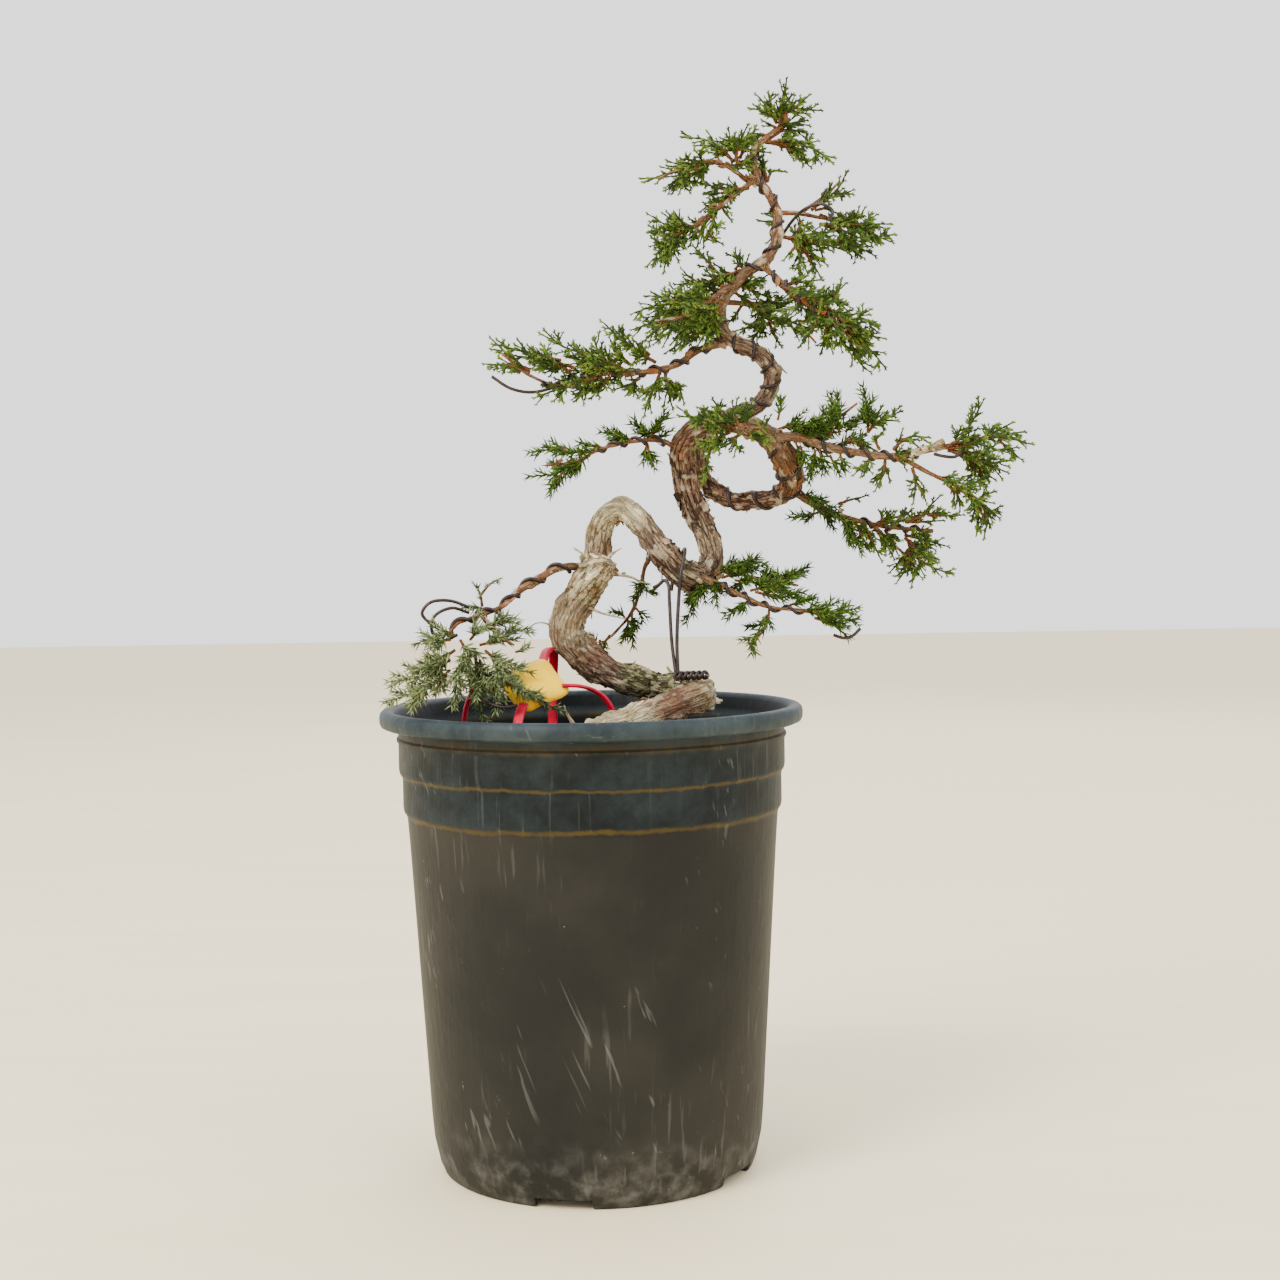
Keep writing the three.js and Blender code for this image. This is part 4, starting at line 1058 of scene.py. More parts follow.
LOOSE_WIRES = [
    [(-44, -38, 60), (-50, -44, 62), (-56, -46, 59), (-57, -44, 53), (-53, -41, 50), (-48, -41, 52)],
    [(-44, -36, 62), (-51, -39, 64.6), (-58, -41, 64), (-61, -41, 60), (-58, -40, 56)],
    [(-41, -44, 28), (-37, -47, 27), (-31, -49, 25.5), (-26, -48, 26)],
    [(-9, -18, 145), (-20, -20, 142.5), (-28, -21, 144), (-35, -22, 148.5)],
    [(93, -18, 205.5), (95, -17, 209), (91, -16, 212), (85, -13, 211), (80, -6, 207), (77, 0, 203)],
    [(131, -25.5, 116.6), (135, -26, 115.6), (139, -26, 115.4), (141.5, -26, 117)],
    [(93, -21, 48.8), (97, -22, 47.6), (100, -22.5, 48.4), (103, -22, 51)],
]
loose = line_piece("loose_wire_ends", [smooth_line(points) for points in LOOSE_WIRES])
settle(grown(loose, round_bar, {"Bar Radius": 0.62 * MM, "Material": wire_finish}), "wire")

# %% [markdown]
# ## The feeding cap and its straps
#
# The yellow cap is a soft plastic cushion shape with four drawn-out corners, and a red flat strap
# leaves each corner and arches down to the soil. The cap is a grid bent into that shape: its outline
# pulls in between the corners and its thickness falls off towards the edge. Each strap is a flat
# section with rounded edges, swept along its route and kept level across its arch.

# %% Marker cap
CAP_CENTRE = np.array((-21, -30, 32.0))
CAP_TURN = Matrix.Rotation(radians(42), 3, "X") @ Matrix.Rotation(radians(-15), 3, "Z")
CAP_REACH, CAP_THICK = 13.8, 8.4


def cap_outline(angle):
    """How far the cap reaches: four rounded corners with shallow bays between them."""
    return CAP_REACH * (0.78 + 0.22 * ((1 + cos(4 * angle)) / 2) ** 1.5)


def cap_shape(rings=18, around=96):
    corners, faces = [], []
    for side in (1, -1):
        for ring in range(rings + (side == 1)):
            share = ring / rings
            for turn in range(around):
                angle = tau * turn / around
                reach = cap_outline(angle) * share
                crown = (1 - share ** 2.6) ** 0.7 if share < 1 else 0
                height = side * CAP_THICK / 2 * crown * (1.15 if side > 0 else 1)
                corners.append((reach * cos(angle), reach * sin(angle), height))
    top = [[ring * around + turn for turn in range(around)] for ring in range(rings + 1)]
    base = (rings + 1) * around
    low = [[base + ring * around + turn for turn in range(around)] for ring in range(rings)] + [top[-1]]
    for rows, flip in ((top, False), (low, True)):
        for inner, outer in zip(rows, rows[1:]):
            for turn in range(around):
                after = (turn + 1) % around
                face = (inner[turn], outer[turn], outer[after], inner[after])
                faces.append(face[::-1] if flip else face)
    return corners, faces


corners, faces = cap_shape()
corners = [tuple(np.array(CAP_TURN @ Vector(corner)) + CAP_CENTRE + (0, 0, soil_top / MM))
           for corner in corners]
cap = mesh_piece("yellow_feeding_cap", np.array(corners) * MM, faces)
joiner = cap.modifiers.new("merge", "WELD")
joiner.merge_threshold = 0.00002
bpy.context.view_layer.update()
cap.data = bpy.data.meshes.new_from_object(cap.evaluated_get(bpy.context.evaluated_depsgraph_get()))
cap.modifiers.clear()


def yellow_look(net):
    where = net.place()
    up = net.height(where) * 1000
    cloud = net.noise(where, 90, 3)
    fine = net.noise(where, 1400, 3)
    # Painted shade: the cap is painted orange low down and yellow higher up, graded by height, as shade on
    # its lower side.
    colour = net.mix((up / 14 - 12.9 + cloud * 0.5).above(-0.1, 0.8), rgb("f58200"), rgb("ffcc00"))
    specks = net.noise(where, 420, 2).above(0.7, 0.76)
    colour = net.mix(specks * 0.5, colour, rgb("9a6a10"))
    return {"Base Color": colour, "Roughness": 0.3 + cloud * 0.2, "Bump": (fine, 0.00006)}


def red_look(net):
    where = net.place()
    cloud = net.noise(where, 130, 3)
    colour = net.mix(cloud.above(0.35, 0.7), rgb("9c0424"), rgb("cf0a38"))
    return {"Base Color": colour, "Roughness": 0.32 + cloud * 0.25, "Bump": (cloud, 0.0001)}


cap.data.materials.append(finish("yellow_plastic", yellow_look, Specular_IOR_Level=0.2))
shade_smooth(cap.data)
settle(cap, "marker_yellow", "marker_cap")

# %% Straps
STRAPS = {
    "strap_right": [(-10, -33.6, 32), (-4, -31, 31.6), (1, -28.5, 30), (5.6, -25, 26.4),
                    (8.8, -22, 20.4), (10.4, -20.4, 11), (10.8, -20, -1)],
    "strap_back": [(-18, -20.6, 39.4), (-16.8, -9, 43.6), (-15.2, 1, 44), (-14.8, 8, 42),
                   (-15.2, 12.5, 36), (-15.8, 15.5, 26), (-16, 16.5, 11), (-16, 16.6, -1)],
    "strap_left": [(-32, -27, 33), (-38, -26.4, 34), (-43, -25.6, 31.6), (-46.4, -24.6, 25),
                   (-48.2, -23.8, 13), (-48.6, -23.5, -1)],
    "strap_front": [(-24, -41.6, 26), (-25.2, -45, 23), (-26, -48.6, 18.4), (-26.4, -51, 11),
                    (-26.6, -52, -1)],
}
STRAP_WIDE, STRAP_THICK = 1.9, 0.75
strap_finish = finish("red_plastic", red_look, Specular_IOR_Level=0.25)


def strap_mesh(points):
    """A flat strip with rounded edges whose width stays level as it follows its line."""
    ahead = np.gradient(points, axis=0)
    ahead /= np.linalg.norm(ahead, axis=1)[:, None]
    level = np.array((points[-1] - points[0])[[1, 0]] * (1, -1))
    wide = np.array((*(level / np.linalg.norm(level)), 0.0))
    corners, faces, around = [], [], 12
    for point, direction in zip(points, ahead):
        across = wide - direction * np.dot(wide, direction)
        across /= np.linalg.norm(across)
        out = np.cross(direction, across)
        for turn in range(around):
            angle = tau * turn / around
            flat = abs(cos(angle)) ** 0.6 * (1 if cos(angle) > 0 else -1)
            corners.append(point + across * STRAP_WIDE * flat + out * STRAP_THICK * sin(angle))
    for row in range(len(points) - 1):
        for turn in range(around):
            a, b = row * around + turn, row * around + (turn + 1) % around
            faces.append((a, b, b + around, a + around))
    faces.append(tuple(range(around - 1, -1, -1)))
    faces.append(tuple(range(len(corners) - around, len(corners))))
    return np.array(corners), faces


for name, points in STRAPS.items():
    corners, faces = strap_mesh(smooth_line(points, 0.8) / MM)
    band = mesh_piece("red_" + name, corners * MM, faces)
    band.data.materials.append(strap_finish)
    settle(band, "marker_red", "marker_" + name)

# %% [markdown]
# ## Foliage
#
# This juniper carries two kinds of leaf. Older shoots bear scales: thin green cords that fork again
# and again in one plane, like lace. Young shoots bear needles: short sharp awls in threes. Modelling
# each leaf would be endless, and a solid cushion would lose the light that shows between the sprays.
# So a spray is made in three steps. Its main shoots come from a table of traced points, which a
# separate program worked out, depth included. Side shoots leave them left and right in turn, in
# the plane of the spray. Then a tree follows every shoot, sweeps it into a stem, and sets a small
# forked twig, or three needles, at each step along it.
#
# Each main shoot is: the kind of leaf, the reach of its side shoots, and points in millimetres
# with their height above the soil.

# %% Main shoots of each spray
SHOOTS = {
    "apex": [
        ("s", 5, (76.4, 2.7, 244.6), (78, -1, 254.5), (79, -3.3, 261)),
        ("s", 4, (75.6, 3, 246.6), (72.3, 4, 252.7), (68.6, 5.3, 257.6)),
        ("s", 3, (75.3, 3, 248.5), (71.4, 2.5, 251), (67, 2, 252)),
        ("s", 4, (78, 3, 248.5), (81, 4.4, 252.6), (85, 5.5, 252.4), (92, 7.5, 252.3)),
        ("s", 2, (82.7, 3, 252), (85, 3, 254.5), (87.4, 3, 256.4)),
        ("s", 4, (76, 2.6, 244), (80.6, 1.4, 246), (86, 0, 246.6)),
        ("s", 3, (77, 2.7, 243.5), (81.5, 3.3, 244), (86, 4, 243)),
        ("s", 2, (75.6, 2.7, 244.6), (73, 2, 246), (71.3, 1, 246.7)),
        ("s", 2, (73, 2, 241.5), (70, 2.7, 242.4), (66.3, 3.4, 243)),
        ("s", 5, (71, 1.4, 239), (80.4, 0.3, 238), (89, -0.6, 236), (95.6, -1.6, 231)),
        ("s", 4, (77.4, 2.4, 239), (82.6, 4, 235.6), (86.6, 5.5, 233.5)),
        ("s", 4, (76, 2.3, 239.6), (81.3, 2.5, 239.5), (87, 2.6, 239)),
        ("s", 1, (65.6, 0, 236), (68.7, -0.7, 235), (71.3, -1.3, 234.7)),
    ],
    "top_left": [
        ("s", 6, (59, -5, 231), (60, -7, 236.4), (63, -9.5, 242.3)),
        ("s", 5, (61, 0, 233), (64, 1.3, 239), (66.7, 2.3, 244)),
        ("s", 4, (57.6, -6, 231), (54, -6.4, 234.7), (48.4, -7, 238.4), (40, -8, 239.5)),
        ("s", 4, (57, -6.4, 231.6), (54, -5.3, 234), (51.6, -4.6, 235)),
        ("s", 4, (59, -6, 233), (56, -5.6, 237.5), (52.3, -5.5, 238.3)),
        ("s", 6, (53, -8, 229.4), (47, -9.5, 229.7), (41.3, -11, 227), (31.7, -13, 224.7), (25, -15, 222)),
        ("s", 4, (41, -14, 226), (37.4, -13.3, 222.3), (35, -12.7, 218.7)),
        ("s", 4, (45, -12.5, 227.6), (39.3, -14.4, 227.7), (34.3, -16, 227)),
        ("s", 5, (59, -5, 230.3), (62.6, -4.4, 229.3), (64, -4, 226.7)),
        ("s", 4, (58, -6.4, 234), (62.6, -7, 235), (65, -7.3, 234.4)),
        ("s", 4, (55, -7, 230), (58.7, -5.7, 228), (62.6, -4.6, 228)),
        ("s", 2, (71, 1.4, 223.7), (69.5, 1.6, 230.3), (67.7, 2, 234.6)),
        ("s", 2, (71.4, 1.3, 224.5), (70.6, 0.4, 228), (70, -0.5, 232)),
        ("s", 1, (71.4, 1.4, 223.7), (73.4, 2, 228), (77.3, 2.5, 228)),
    ],
    "hanging_left": [
        ("s", 4, (64, -2, 221), (55, -5, 220), (47.4, -7.3, 221.7), (42, -9, 222.6)),
        ("s", 2, (57.4, -5, 218.6), (52, -4, 216), (46.3, -2.7, 213)),
        ("s", 1, (58.6, -4.6, 219), (53, -5.3, 216), (48.5, -6, 213)),
        ("s", 2, (54.6, -7.6, 215.5), (54, -6.5, 212), (56, -5.6, 209.4)),
        ("s", 5, (53.4, -9, 213), (48, -8.6, 208.6), (45, -8.4, 204), (44, -8, 199.3)),
        ("s", 5, (51, -10.3, 210.6), (49.3, -11.5, 205.5), (49.6, -12.3, 202)),
        ("s", 2, (47, -12.4, 202.3), (49.3, -12, 200.5), (52, -11.6, 199)),
        ("s", 5, (44.7, -12.4, 206), (41, -13.7, 204), (34, -16, 204), (29.5, -17.7, 206), (27, -18.5, 206)),
        ("s", 5, (37, -14, 204), (32.5, -13, 202), (25.7, -11.4, 203)),
        ("s", 6, (39, -13.6, 203.4), (33, -14.4, 199), (28.6, -15, 195), (27, -15.6, 191)),
        ("s", 4, (36.3, -14, 202.6), (32.4, -12, 196), (31, -10, 190)),
        ("s", 4, (41, -13, 204), (37, -13, 206.5), (37, -13, 210)),
        ("s", 4, (41, -13, 204), (35, -14.6, 206.3), (31.4, -16, 209)),
        ("s", 3, (44.7, -12.7, 203.5), (41.6, -12, 201.3), (40, -12, 200)),
    ],
    "upper_right": [
        ("s", 3, (89, 6.4, 213.6), (95, 4, 217.7), (99, 2, 221), (101.5, 0.4, 225.4)),
        ("s", 2, (96, 10.4, 219), (100, 11, 219.7), (105, 12, 221.7)),
        ("s", 2, (90.3, 7, 213.6), (94.6, 6.3, 214), (98, 6, 212.6)),
        ("s", 3, (92.4, 8, 212), (99.6, 10, 210), (107.7, 12.4, 212)),
        ("s", 5, (96.5, 10, 211.3), (104.3, 10, 208.5), (110, 10.3, 208.5), (119, 10.5, 208.4)),
        ("s", 3, (105.5, 14, 209), (108.6, 13, 212), (110, 12.4, 214.3)),
        ("s", 5, (104.7, 14, 208.4), (112, 15, 206), (120.3, 16, 202.6)),
        ("s", 5, (92.4, 8.6, 208.5), (99, 6.3, 206.4), (105.5, 4, 203), (109.6, 2.5, 201)),
        ("s", 6, (76, -0.5, 202.6), (84, 1, 201), (93.7, 3, 201.4), (101.7, 4.4, 201.5), (110, 6, 201)),
        ("s", 5, (96.5, 11, 202), (106, 10, 200), (112.7, 9, 196.6)),
        ("s", 3, (83.7, -0.6, 201), (92.5, 2, 200), (101, 4.4, 197.6)),
        ("s", 6, (80, -0.6, 202), (83, -0.4, 198), (85, -0.3, 192.6), (86, 0, 189.5)),
        ("s", 3, (83.7, -1, 198), (88, -2, 195.3), (93, -3.6, 191.6)),
        ("s", 3, (85, -1, 197), (88.3, -0.3, 192.5), (91, 0.4, 188)),
        ("s", 1, (81.7, -1, 198), (79.7, -2, 196), (78, -2.6, 194)),
        ("s", 2, (83, 5, 205), (84.3, 5.4, 207.7), (84, 6, 211)),
        ("s", 2, (84.3, 5, 208.7), (86.5, 4.5, 206.7), (89, 4, 205)),
        ("s", 2, (76, 0.6, 208), (72.4, 2, 212), (70.5, 2.7, 211.7)),
        ("s", 1, (76, 0.6, 208), (72.7, 0.7, 208.6), (69.6, 1, 208.7)),
        ("s", 4, (75.3, 0, 206), (74.5, -0.7, 202.6), (72, -1.4, 201)),
    ],
    "dense_left": [
        ("s", 6, (54, -9, 177.3), (40.5, -13.4, 175), (29, -17, 175), (19, -20.6, 171.6)),
        ("s", 6, (53, -11, 176), (40.6, -8.5, 172.7), (29, -6, 170.4), (19, -4, 167.4)),
        ("s", 5, (52, -12, 175), (42.3, -13.3, 168.6), (32.7, -14.5, 165), (27, -15.3, 160.7)),
        ("s", 4, (52, -13, 174), (44.3, -10, 166.7), (38.5, -7.7, 162.5), (32, -5.4, 158.6)),
        ("s", 4, (52, -13, 173), (47, -12.7, 165.6), (44, -12.5, 161)),
        ("s", 5, (53, -10, 177), (44.4, -12, 178), (36.7, -13.7, 178.5), (31, -15, 180.3)),
        ("s", 4, (40.3, -21, 175), (32, -20, 176.3), (27, -19.4, 179)),
        ("s", 3, (52, -12, 174.7), (48.7, -14.6, 167.3), (45.5, -17.3, 159.5)),
        ("s", 4, (34.4, -27, 168.7), (27, -25.5, 164.5), (24, -24.7, 161.7)),
        ("s", 5, (53, -11, 176), (46, -12, 172.5), (40.4, -12.6, 169.5), (36.4, -14, 160)),
        ("s", 5, (50, -13, 177), (42.5, -11, 177.3), (35, -8, 174), (25, -5.3, 171.7)),
    ],
    "dense_back": [
        ("s", 5, (60.5, 1.7, 190), (50.6, -1.7, 186), (43, -4, 184.6), (36, -6.3, 184)),
        ("s", 4, (45.3, 14.4, 187), (40.7, 15.4, 190), (38.7, 16, 192.5)),
        ("s", 4, (58.6, 4, 188.5), (53.6, 3, 190.5), (52, 3, 192)),
        ("s", 3, (53, 8, 189), (48.4, 10, 194.6), (43.5, 12, 200.5)),
        ("s", 4, (58.6, 3, 190.4), (60.6, 3, 193.4), (60.7, 3.3, 197)),
        ("s", 3, (60.5, 2.4, 188.3), (62.4, 1.6, 191), (63.6, 0.7, 194.6)),
        ("s", 5, (58.6, 4.5, 185), (64.5, 5.3, 183), (71.5, 6.3, 180)),
        ("s", 2, (59.7, 3, 185.7), (66, 1, 185), (71, -1, 187.7)),
        ("s", 3, (58.6, 5, 182), (62.5, 6, 179), (66.5, 7, 175.3)),
        ("s", 5, (56.7, 6, 185), (54.7, 5.6, 183), (47, 4.7, 183), (41, 4, 182.3)),
    ],
    "mid_right": [
        ("s", 6, (75, -8, 183), (80.7, -10.4, 178), (87, -13, 172.5), (93.4, -16, 166.4)),
        ("s", 5, (79, -9.6, 180), (88.6, -7.7, 177.7), (97.6, -6, 176.3), (100.7, -5, 173.6)),
        ("s", 6, (82.6, -11, 177.4), (92, -12.3, 174.4), (98.7, -13.4, 168.5), (106, -14, 169),
            (111, -15, 166.6)),
        ("s", 3, (94.5, -13.6, 175), (97, -12.3, 179), (98.3, -11, 183)),
        ("s", 5, (97.5, -14, 169), (103, -14, 164.6), (108, -13.6, 162.7), (113.5, -13.4, 161.5)),
        ("s", 5, (99.4, -14, 166.5), (104.7, -16, 158.7), (109, -17.4, 156), (113, -19, 151)),
        ("s", 5, (99.3, -14, 165.4), (102, -13, 159), (105, -12, 152.6), (108, -11.6, 149.6)),
        ("s", 5, (90, -13, 172.5), (88, -15, 166.6), (84, -17, 161.5), (82.6, -18, 159.6)),
        ("s", 5, (92, -13.6, 170.5), (93, -12, 163), (94.6, -11, 157.5)),
        ("s", 5, (93.7, -14, 169.3), (98, -15, 161.5), (101, -15.7, 156)),
        ("s", 3, (77, -8.4, 182.7), (83, -6.7, 184), (90, -4.6, 185)),
        ("s", 3, (81, -9.6, 182.5), (84, -9.4, 186.3), (83, -9.4, 188)),
    ],
    "mid_right_back": [
        ("s", 5, (61.5, 9.3, 180.3), (68.4, 6.7, 176), (73, 4.4, 170), (79.7, 2, 170), (88, -0.7, 166.3)),
        ("s", 4, (75, 21, 172), (69.3, 22, 171), (63.3, 23, 170), (60.6, 23.6, 169.4)),
        ("s", 2, (73, 20, 172), (74, 19.6, 168), (76.5, 19, 163.5)),
        ("s", 2, (73, 20, 172), (68.4, 21.6, 169), (68, 22.7, 165)),
        ("s", 3, (71, 18.4, 173.4), (75, 18.6, 176.5), (79, 18.7, 178.4)),
        ("s", 1, (61.6, 10, 177.7), (58, 9, 172.5), (55, 8, 169.7)),
        ("s", 2, (81.3, 23, 172), (83.3, 23.4, 168), (84.5, 23.7, 166)),
        ("s", 4, (69, 14.4, 180), (74.7, 12.4, 177.7), (84.3, 9, 180)),
        ("s", 4, (85.4, 24, 172), (91.5, 25, 174), (96, 26, 175)),
    ],
    "long_left": [
        ("s", 4, (27, -10, 154), (21, -12, 157.7), (16.6, -14, 160.3), (13.7, -16, 166)),
        ("s", 2, (21, -11.6, 158), (14.3, -10, 162.6), (7.5, -8, 169.4)),
        ("s", 5, (17, -13, 150), (8, -14.4, 154.7), (-1.7, -15.6, 157.7), (-9, -16.5, 160.4),
            (-14, -17.3, 165)),
        ("s", 4, (13.4, -14, 150), (6, -11, 157), (3.6, -9, 163)),
        ("s", 4, (7.7, -15.6, 149), (0, -15.3, 154.7), (-3.5, -15, 160.5)),
        ("s", 4, (17.3, -13, 153), (11.6, -14.5, 157.6), (10, -15.7, 162)),
        ("s", 6, (21, -12, 151), (5.7, -10, 150.6), (-6, -8.5, 151.6), (-12.7, -7.6, 152.6)),
        ("s", 5, (6, -16, 148), (-3.7, -19, 145), (-11, -22, 143), (-18, -24, 140.3)),
        ("s", 4, (9.6, -15, 148), (2, -13.5, 144), (-3, -12.4, 141.4)),
        ("s", 4, (-5.5, -17.4, 150), (-15, -18.7, 156.5), (-22.3, -19.6, 157.7), (-31.7, -20.7, 160.3)),
        ("s", 3, (-20.5, -20, 151), (-26.3, -18.3, 153.7), (-30, -16.7, 158), (-35, -14.7, 163)),
        ("s", 3, (-20.6, -20, 150), (-27.3, -20, 152.5), (-32, -19.6, 153), (-37, -19.5, 153.4)),
        ("s", 4, (-9, -18.6, 154.5), (-16.7, -20.4, 156), (-22, -22, 158), (-24, -22.5, 161)),
        ("s", 4, (-3.6, -17, 151.6), (-11, -16, 154), (-19, -15, 155), (-26.5, -14, 157)),
        ("s", 5, (28.7, -10, 150), (26.7, -11.7, 145), (24, -14, 139.3), (22.7, -15.3, 134.7)),
        ("s", 5, (30.6, -9, 151), (31.7, -7.7, 143.5), (33, -6.5, 138)),
        ("s", 4, (21, -12, 148), (16.4, -12.6, 145), (12.5, -13, 144)),
        ("s", 3, (32.5, -9, 147), (36.3, -7, 143.4), (37.5, -6, 139.7)),
        ("s", 3, (6, -16, 148.5), (7.6, -16, 144), (5.7, -16, 142.5)),
        ("s", 3, (25, -10.4, 156.7), (21, -11.6, 160.4), (19.7, -12, 161.5)),
        ("s", 5, (11.5, -14.4, 150), (4, -13.4, 152.6), (-3.7, -12.3, 156), (-7.5, -11.7, 158)),
    ],
    "mid_left": [
        ("n", 4, (24.5, -6.5, 125.3), (28.4, -8.5, 130), (30.4, -10.5, 135.6)),
        ("n", 4, (26.5, -5, 126), (22.6, -4, 128.5), (17.6, -3, 131)),
        ("n", 4, (17.6, -10.5, 124), (13, -11, 126), (10, -11.4, 126.7), (6, -12, 127.5)),
        ("n", 2, (26.4, -5, 124), (29, -4, 126), (33, -3, 128.4)),
        ("n", 3, (23.7, -7, 123.3), (22.5, -7, 120.6), (21.7, -7, 116)),
        ("n", 3, (23.7, -7, 122.5), (24.4, -8.5, 116.7), (26, -9.3, 113.6)),
        ("n", 3, (5.3, -15.3, 120.5), (-0.4, -14.5, 120), (-6, -14, 120), (-14, -13, 121),
            (-21.6, -12, 120.3)),
        ("n", 3, (7, -14.5, 121.3), (3.4, -16, 122), (-2, -17.7, 123)),
        ("n", 4, (1.5, -16, 118.6), (-4.3, -15, 115), (-12, -13, 112), (-22, -11.3, 111)),
        ("n", 2, (-8, -18.6, 113), (-11.5, -19, 109), (-14, -20, 103.6)),
        ("n", 2, (-7.5, -18.4, 120.6), (-10.6, -17.4, 122), (-12.5, -16.6, 124)),
        ("n", 2, (-4, -17.7, 116), (-7, -17.6, 113), (-8, -17.5, 110.4)),
    ],
    "ring_top": [
        ("s", 6, (54.7, -20.4, 127), (49, -22.4, 129), (41.4, -25, 131.5), (37, -26.5, 132)),
        ("s", 5, (56.5, -23, 127), (51, -21, 132.7), (43.5, -19.6, 135.5)),
        ("s", 5, (58.3, -24.4, 127.5), (56.5, -25, 132.3), (55.7, -25.5, 136)),
        ("s", 4, (60, -26, 127.4), (61.4, -24.5, 132.3), (61, -23, 137.3)),
        ("s", 5, (54.7, -20.4, 126.3), (49, -20, 123.4), (45, -20, 119)),
        ("s", 4, (58.3, -24.4, 126), (56.3, -25, 123), (50.6, -26.7, 120)),
        ("s", 4, (63.7, -28.4, 125.7), (67.5, -28, 128.3), (69.4, -27.4, 131)),
        ("s", 4, (60, -26, 126.6), (65.5, -28, 122.7), (69, -29.5, 122)),
        ("s", 1, (50.5, -13, 127), (47, -11.4, 118), (44.6, -9.5, 108.7)),
    ],
    "right": [
        ("n", 5, (72.3, -13, 127), (81.6, -16, 129), (89, -18.6, 126.6), (102, -23, 128)),
        ("n", 6, (74, -14, 125), (84, -12, 123.3), (95.5, -10, 121.3), (105.3, -8, 123)),
        ("n", 4, (92.4, -21.6, 123.4), (93.5, -22.4, 130), (93, -23.5, 139.4)),
        ("n", 3, (96, -22.4, 124.4), (95.7, -20, 132), (96, -17.7, 140.5)),
        ("n", 3, (87, -19.4, 124.7), (90, -19, 130.3), (90, -19, 135)),
        ("n", 4, (106.5, -24, 125.3), (106.4, -25.7, 133.4), (104.4, -28, 142)),
        ("n", 3, (99, -14.6, 126), (104, -13.6, 131), (107, -13, 135)),
        ("s", 4, (106.5, -24, 125.3), (111, -26, 129.6), (117, -28, 132)),
        ("n", 2, (73.4, -13.4, 131), (74.7, -12.3, 136.7), (74, -12, 139.4)),
        ("n", 3, (81.3, -18.4, 121), (83, -19, 116), (82, -19.3, 113.4)),
        ("n", 4, (87, -20.4, 119), (86, -18.7, 113.4), (85, -16.6, 106.7)),
        ("n", 5, (92.3, -22, 117), (94, -22, 113), (96, -22, 109.3)),
        ("n", 4, (96, -22.6, 118), (96.7, -23.5, 114), (97.7, -24, 111)),
        ("n", 2, (79.5, -17.4, 123), (80.7, -17, 119.3), (81.4, -16.3, 115.5)),
        ("n", 4, (88.6, -21, 119), (89, -22.5, 115), (90.6, -24, 111)),
        ("s", 4, (98, -23, 122.4), (105.7, -21.3, 120.5), (110.7, -20, 118)),
        ("s", 4, (109, -24, 116.6), (105, -24.6, 113), (104, -25, 110)),
        ("s", 3, (113, -24, 115.4), (112.6, -22.4, 110), (110, -20.4, 104.3)),
        ("s", 1, (111, -24, 118.4), (109.5, -24, 122), (112, -24, 125)),
        ("s", 3, (116, -24, 118.3), (119.5, -25, 122), (125, -26.6, 123.3), (128, -27.5, 121.3)),
        ("s", 3, (114.7, -24, 115.7), (120.5, -23, 117.6), (124.3, -22.7, 118.3)),
        ("s", 3, (116.6, -24, 115.3), (120, -25.5, 112.6), (120, -26, 111.4)),
    ],
    "right_tip": [
        ("s", 3, (136, -21, 119), (141.3, -23, 122.5), (144.7, -25.3, 127), (149, -28.6, 135.5)),
        ("s", 2, (145, -19.4, 125.7), (146.7, -18.5, 130), (147, -18, 133.7)),
        ("s", 4, (136, -21, 119), (145, -22, 119.5), (152.6, -23, 123), (160, -24, 122), (166.6, -25, 120)),
        ("s", 2, (149.6, -19, 122), (155.6, -17, 125), (161.7, -15, 128)),
        ("s", 2, (155.5, -18, 123), (160.4, -17.6, 124), (165.4, -17.5, 124.7)),
        ("s", 3, (137, -21, 118), (147, -23, 117), (156, -25.4, 117.7), (160.6, -26.5, 118.3)),
        ("s", 1, (156.7, -17.4, 122), (161.4, -16.6, 118), (165, -16, 115)),
        ("s", 4, (138, -21, 118), (145, -23.4, 115), (152, -26, 113), (158, -28, 113.4)),
        ("s", 4, (147.6, -19, 115), (153.5, -18, 112.4), (159, -17, 110)),
        ("s", 3, (147.6, -19, 114.3), (151, -20, 109.7), (154, -20.3, 107.4)),
        ("s", 4, (146.4, -19.4, 114.3), (148, -17.7, 108.7), (146, -16, 104)),
        ("s", 3, (149.5, -19, 113.5), (150.6, -19, 106.7), (152, -18.6, 103)),
        ("s", 3, (123, -25, 111.4), (124, -26.3, 106), (123, -28, 99.3)),
        ("s", 1, (124, -25.4, 106), (126.5, -25, 103), (128, -24.3, 99)),
        ("s", 3, (130, -26, 109), (136, -28, 106.6), (143.6, -31, 105), (148, -32.6, 107)),
        ("s", 3, (136, -26, 105), (140, -25, 101), (141, -24, 96)),
        ("s", 4, (137, -26, 105.5), (143.5, -27, 102), (149.7, -28, 97), (154, -28.5, 93)),
        ("s", 3, (144.5, -25.7, 101), (148, -23.6, 94.5), (147.7, -21.3, 87)),
        ("s", 4, (148.3, -25.3, 98.3), (151.3, -25, 93.3), (150, -25, 86)),
        ("s", 1, (147.5, -25.4, 99), (150, -26, 101), (152, -26.6, 101.5)),
    ],
    "right_low": [
        ("n", 5, (83, 3.3, 104.6), (88.5, 0.7, 98.6), (96, -2, 95.7), (99.6, -3.6, 92.6)),
        ("n", 3, (91, 8, 96), (85, 9, 94.5), (79.4, 10, 94)),
        ("s", 0, (98.4, 10, 99), (103, 9.6, 100.6), (108, 9, 101.7)),
        ("n", 4, (99.3, 11.4, 95), (102.6, 13.3, 89), (106.7, 15.3, 83), (108.4, 16.5, 79)),
        ("s", 4, (105.4, 13, 92), (108, 13.4, 86.7), (110.5, 13.6, 81.5)),
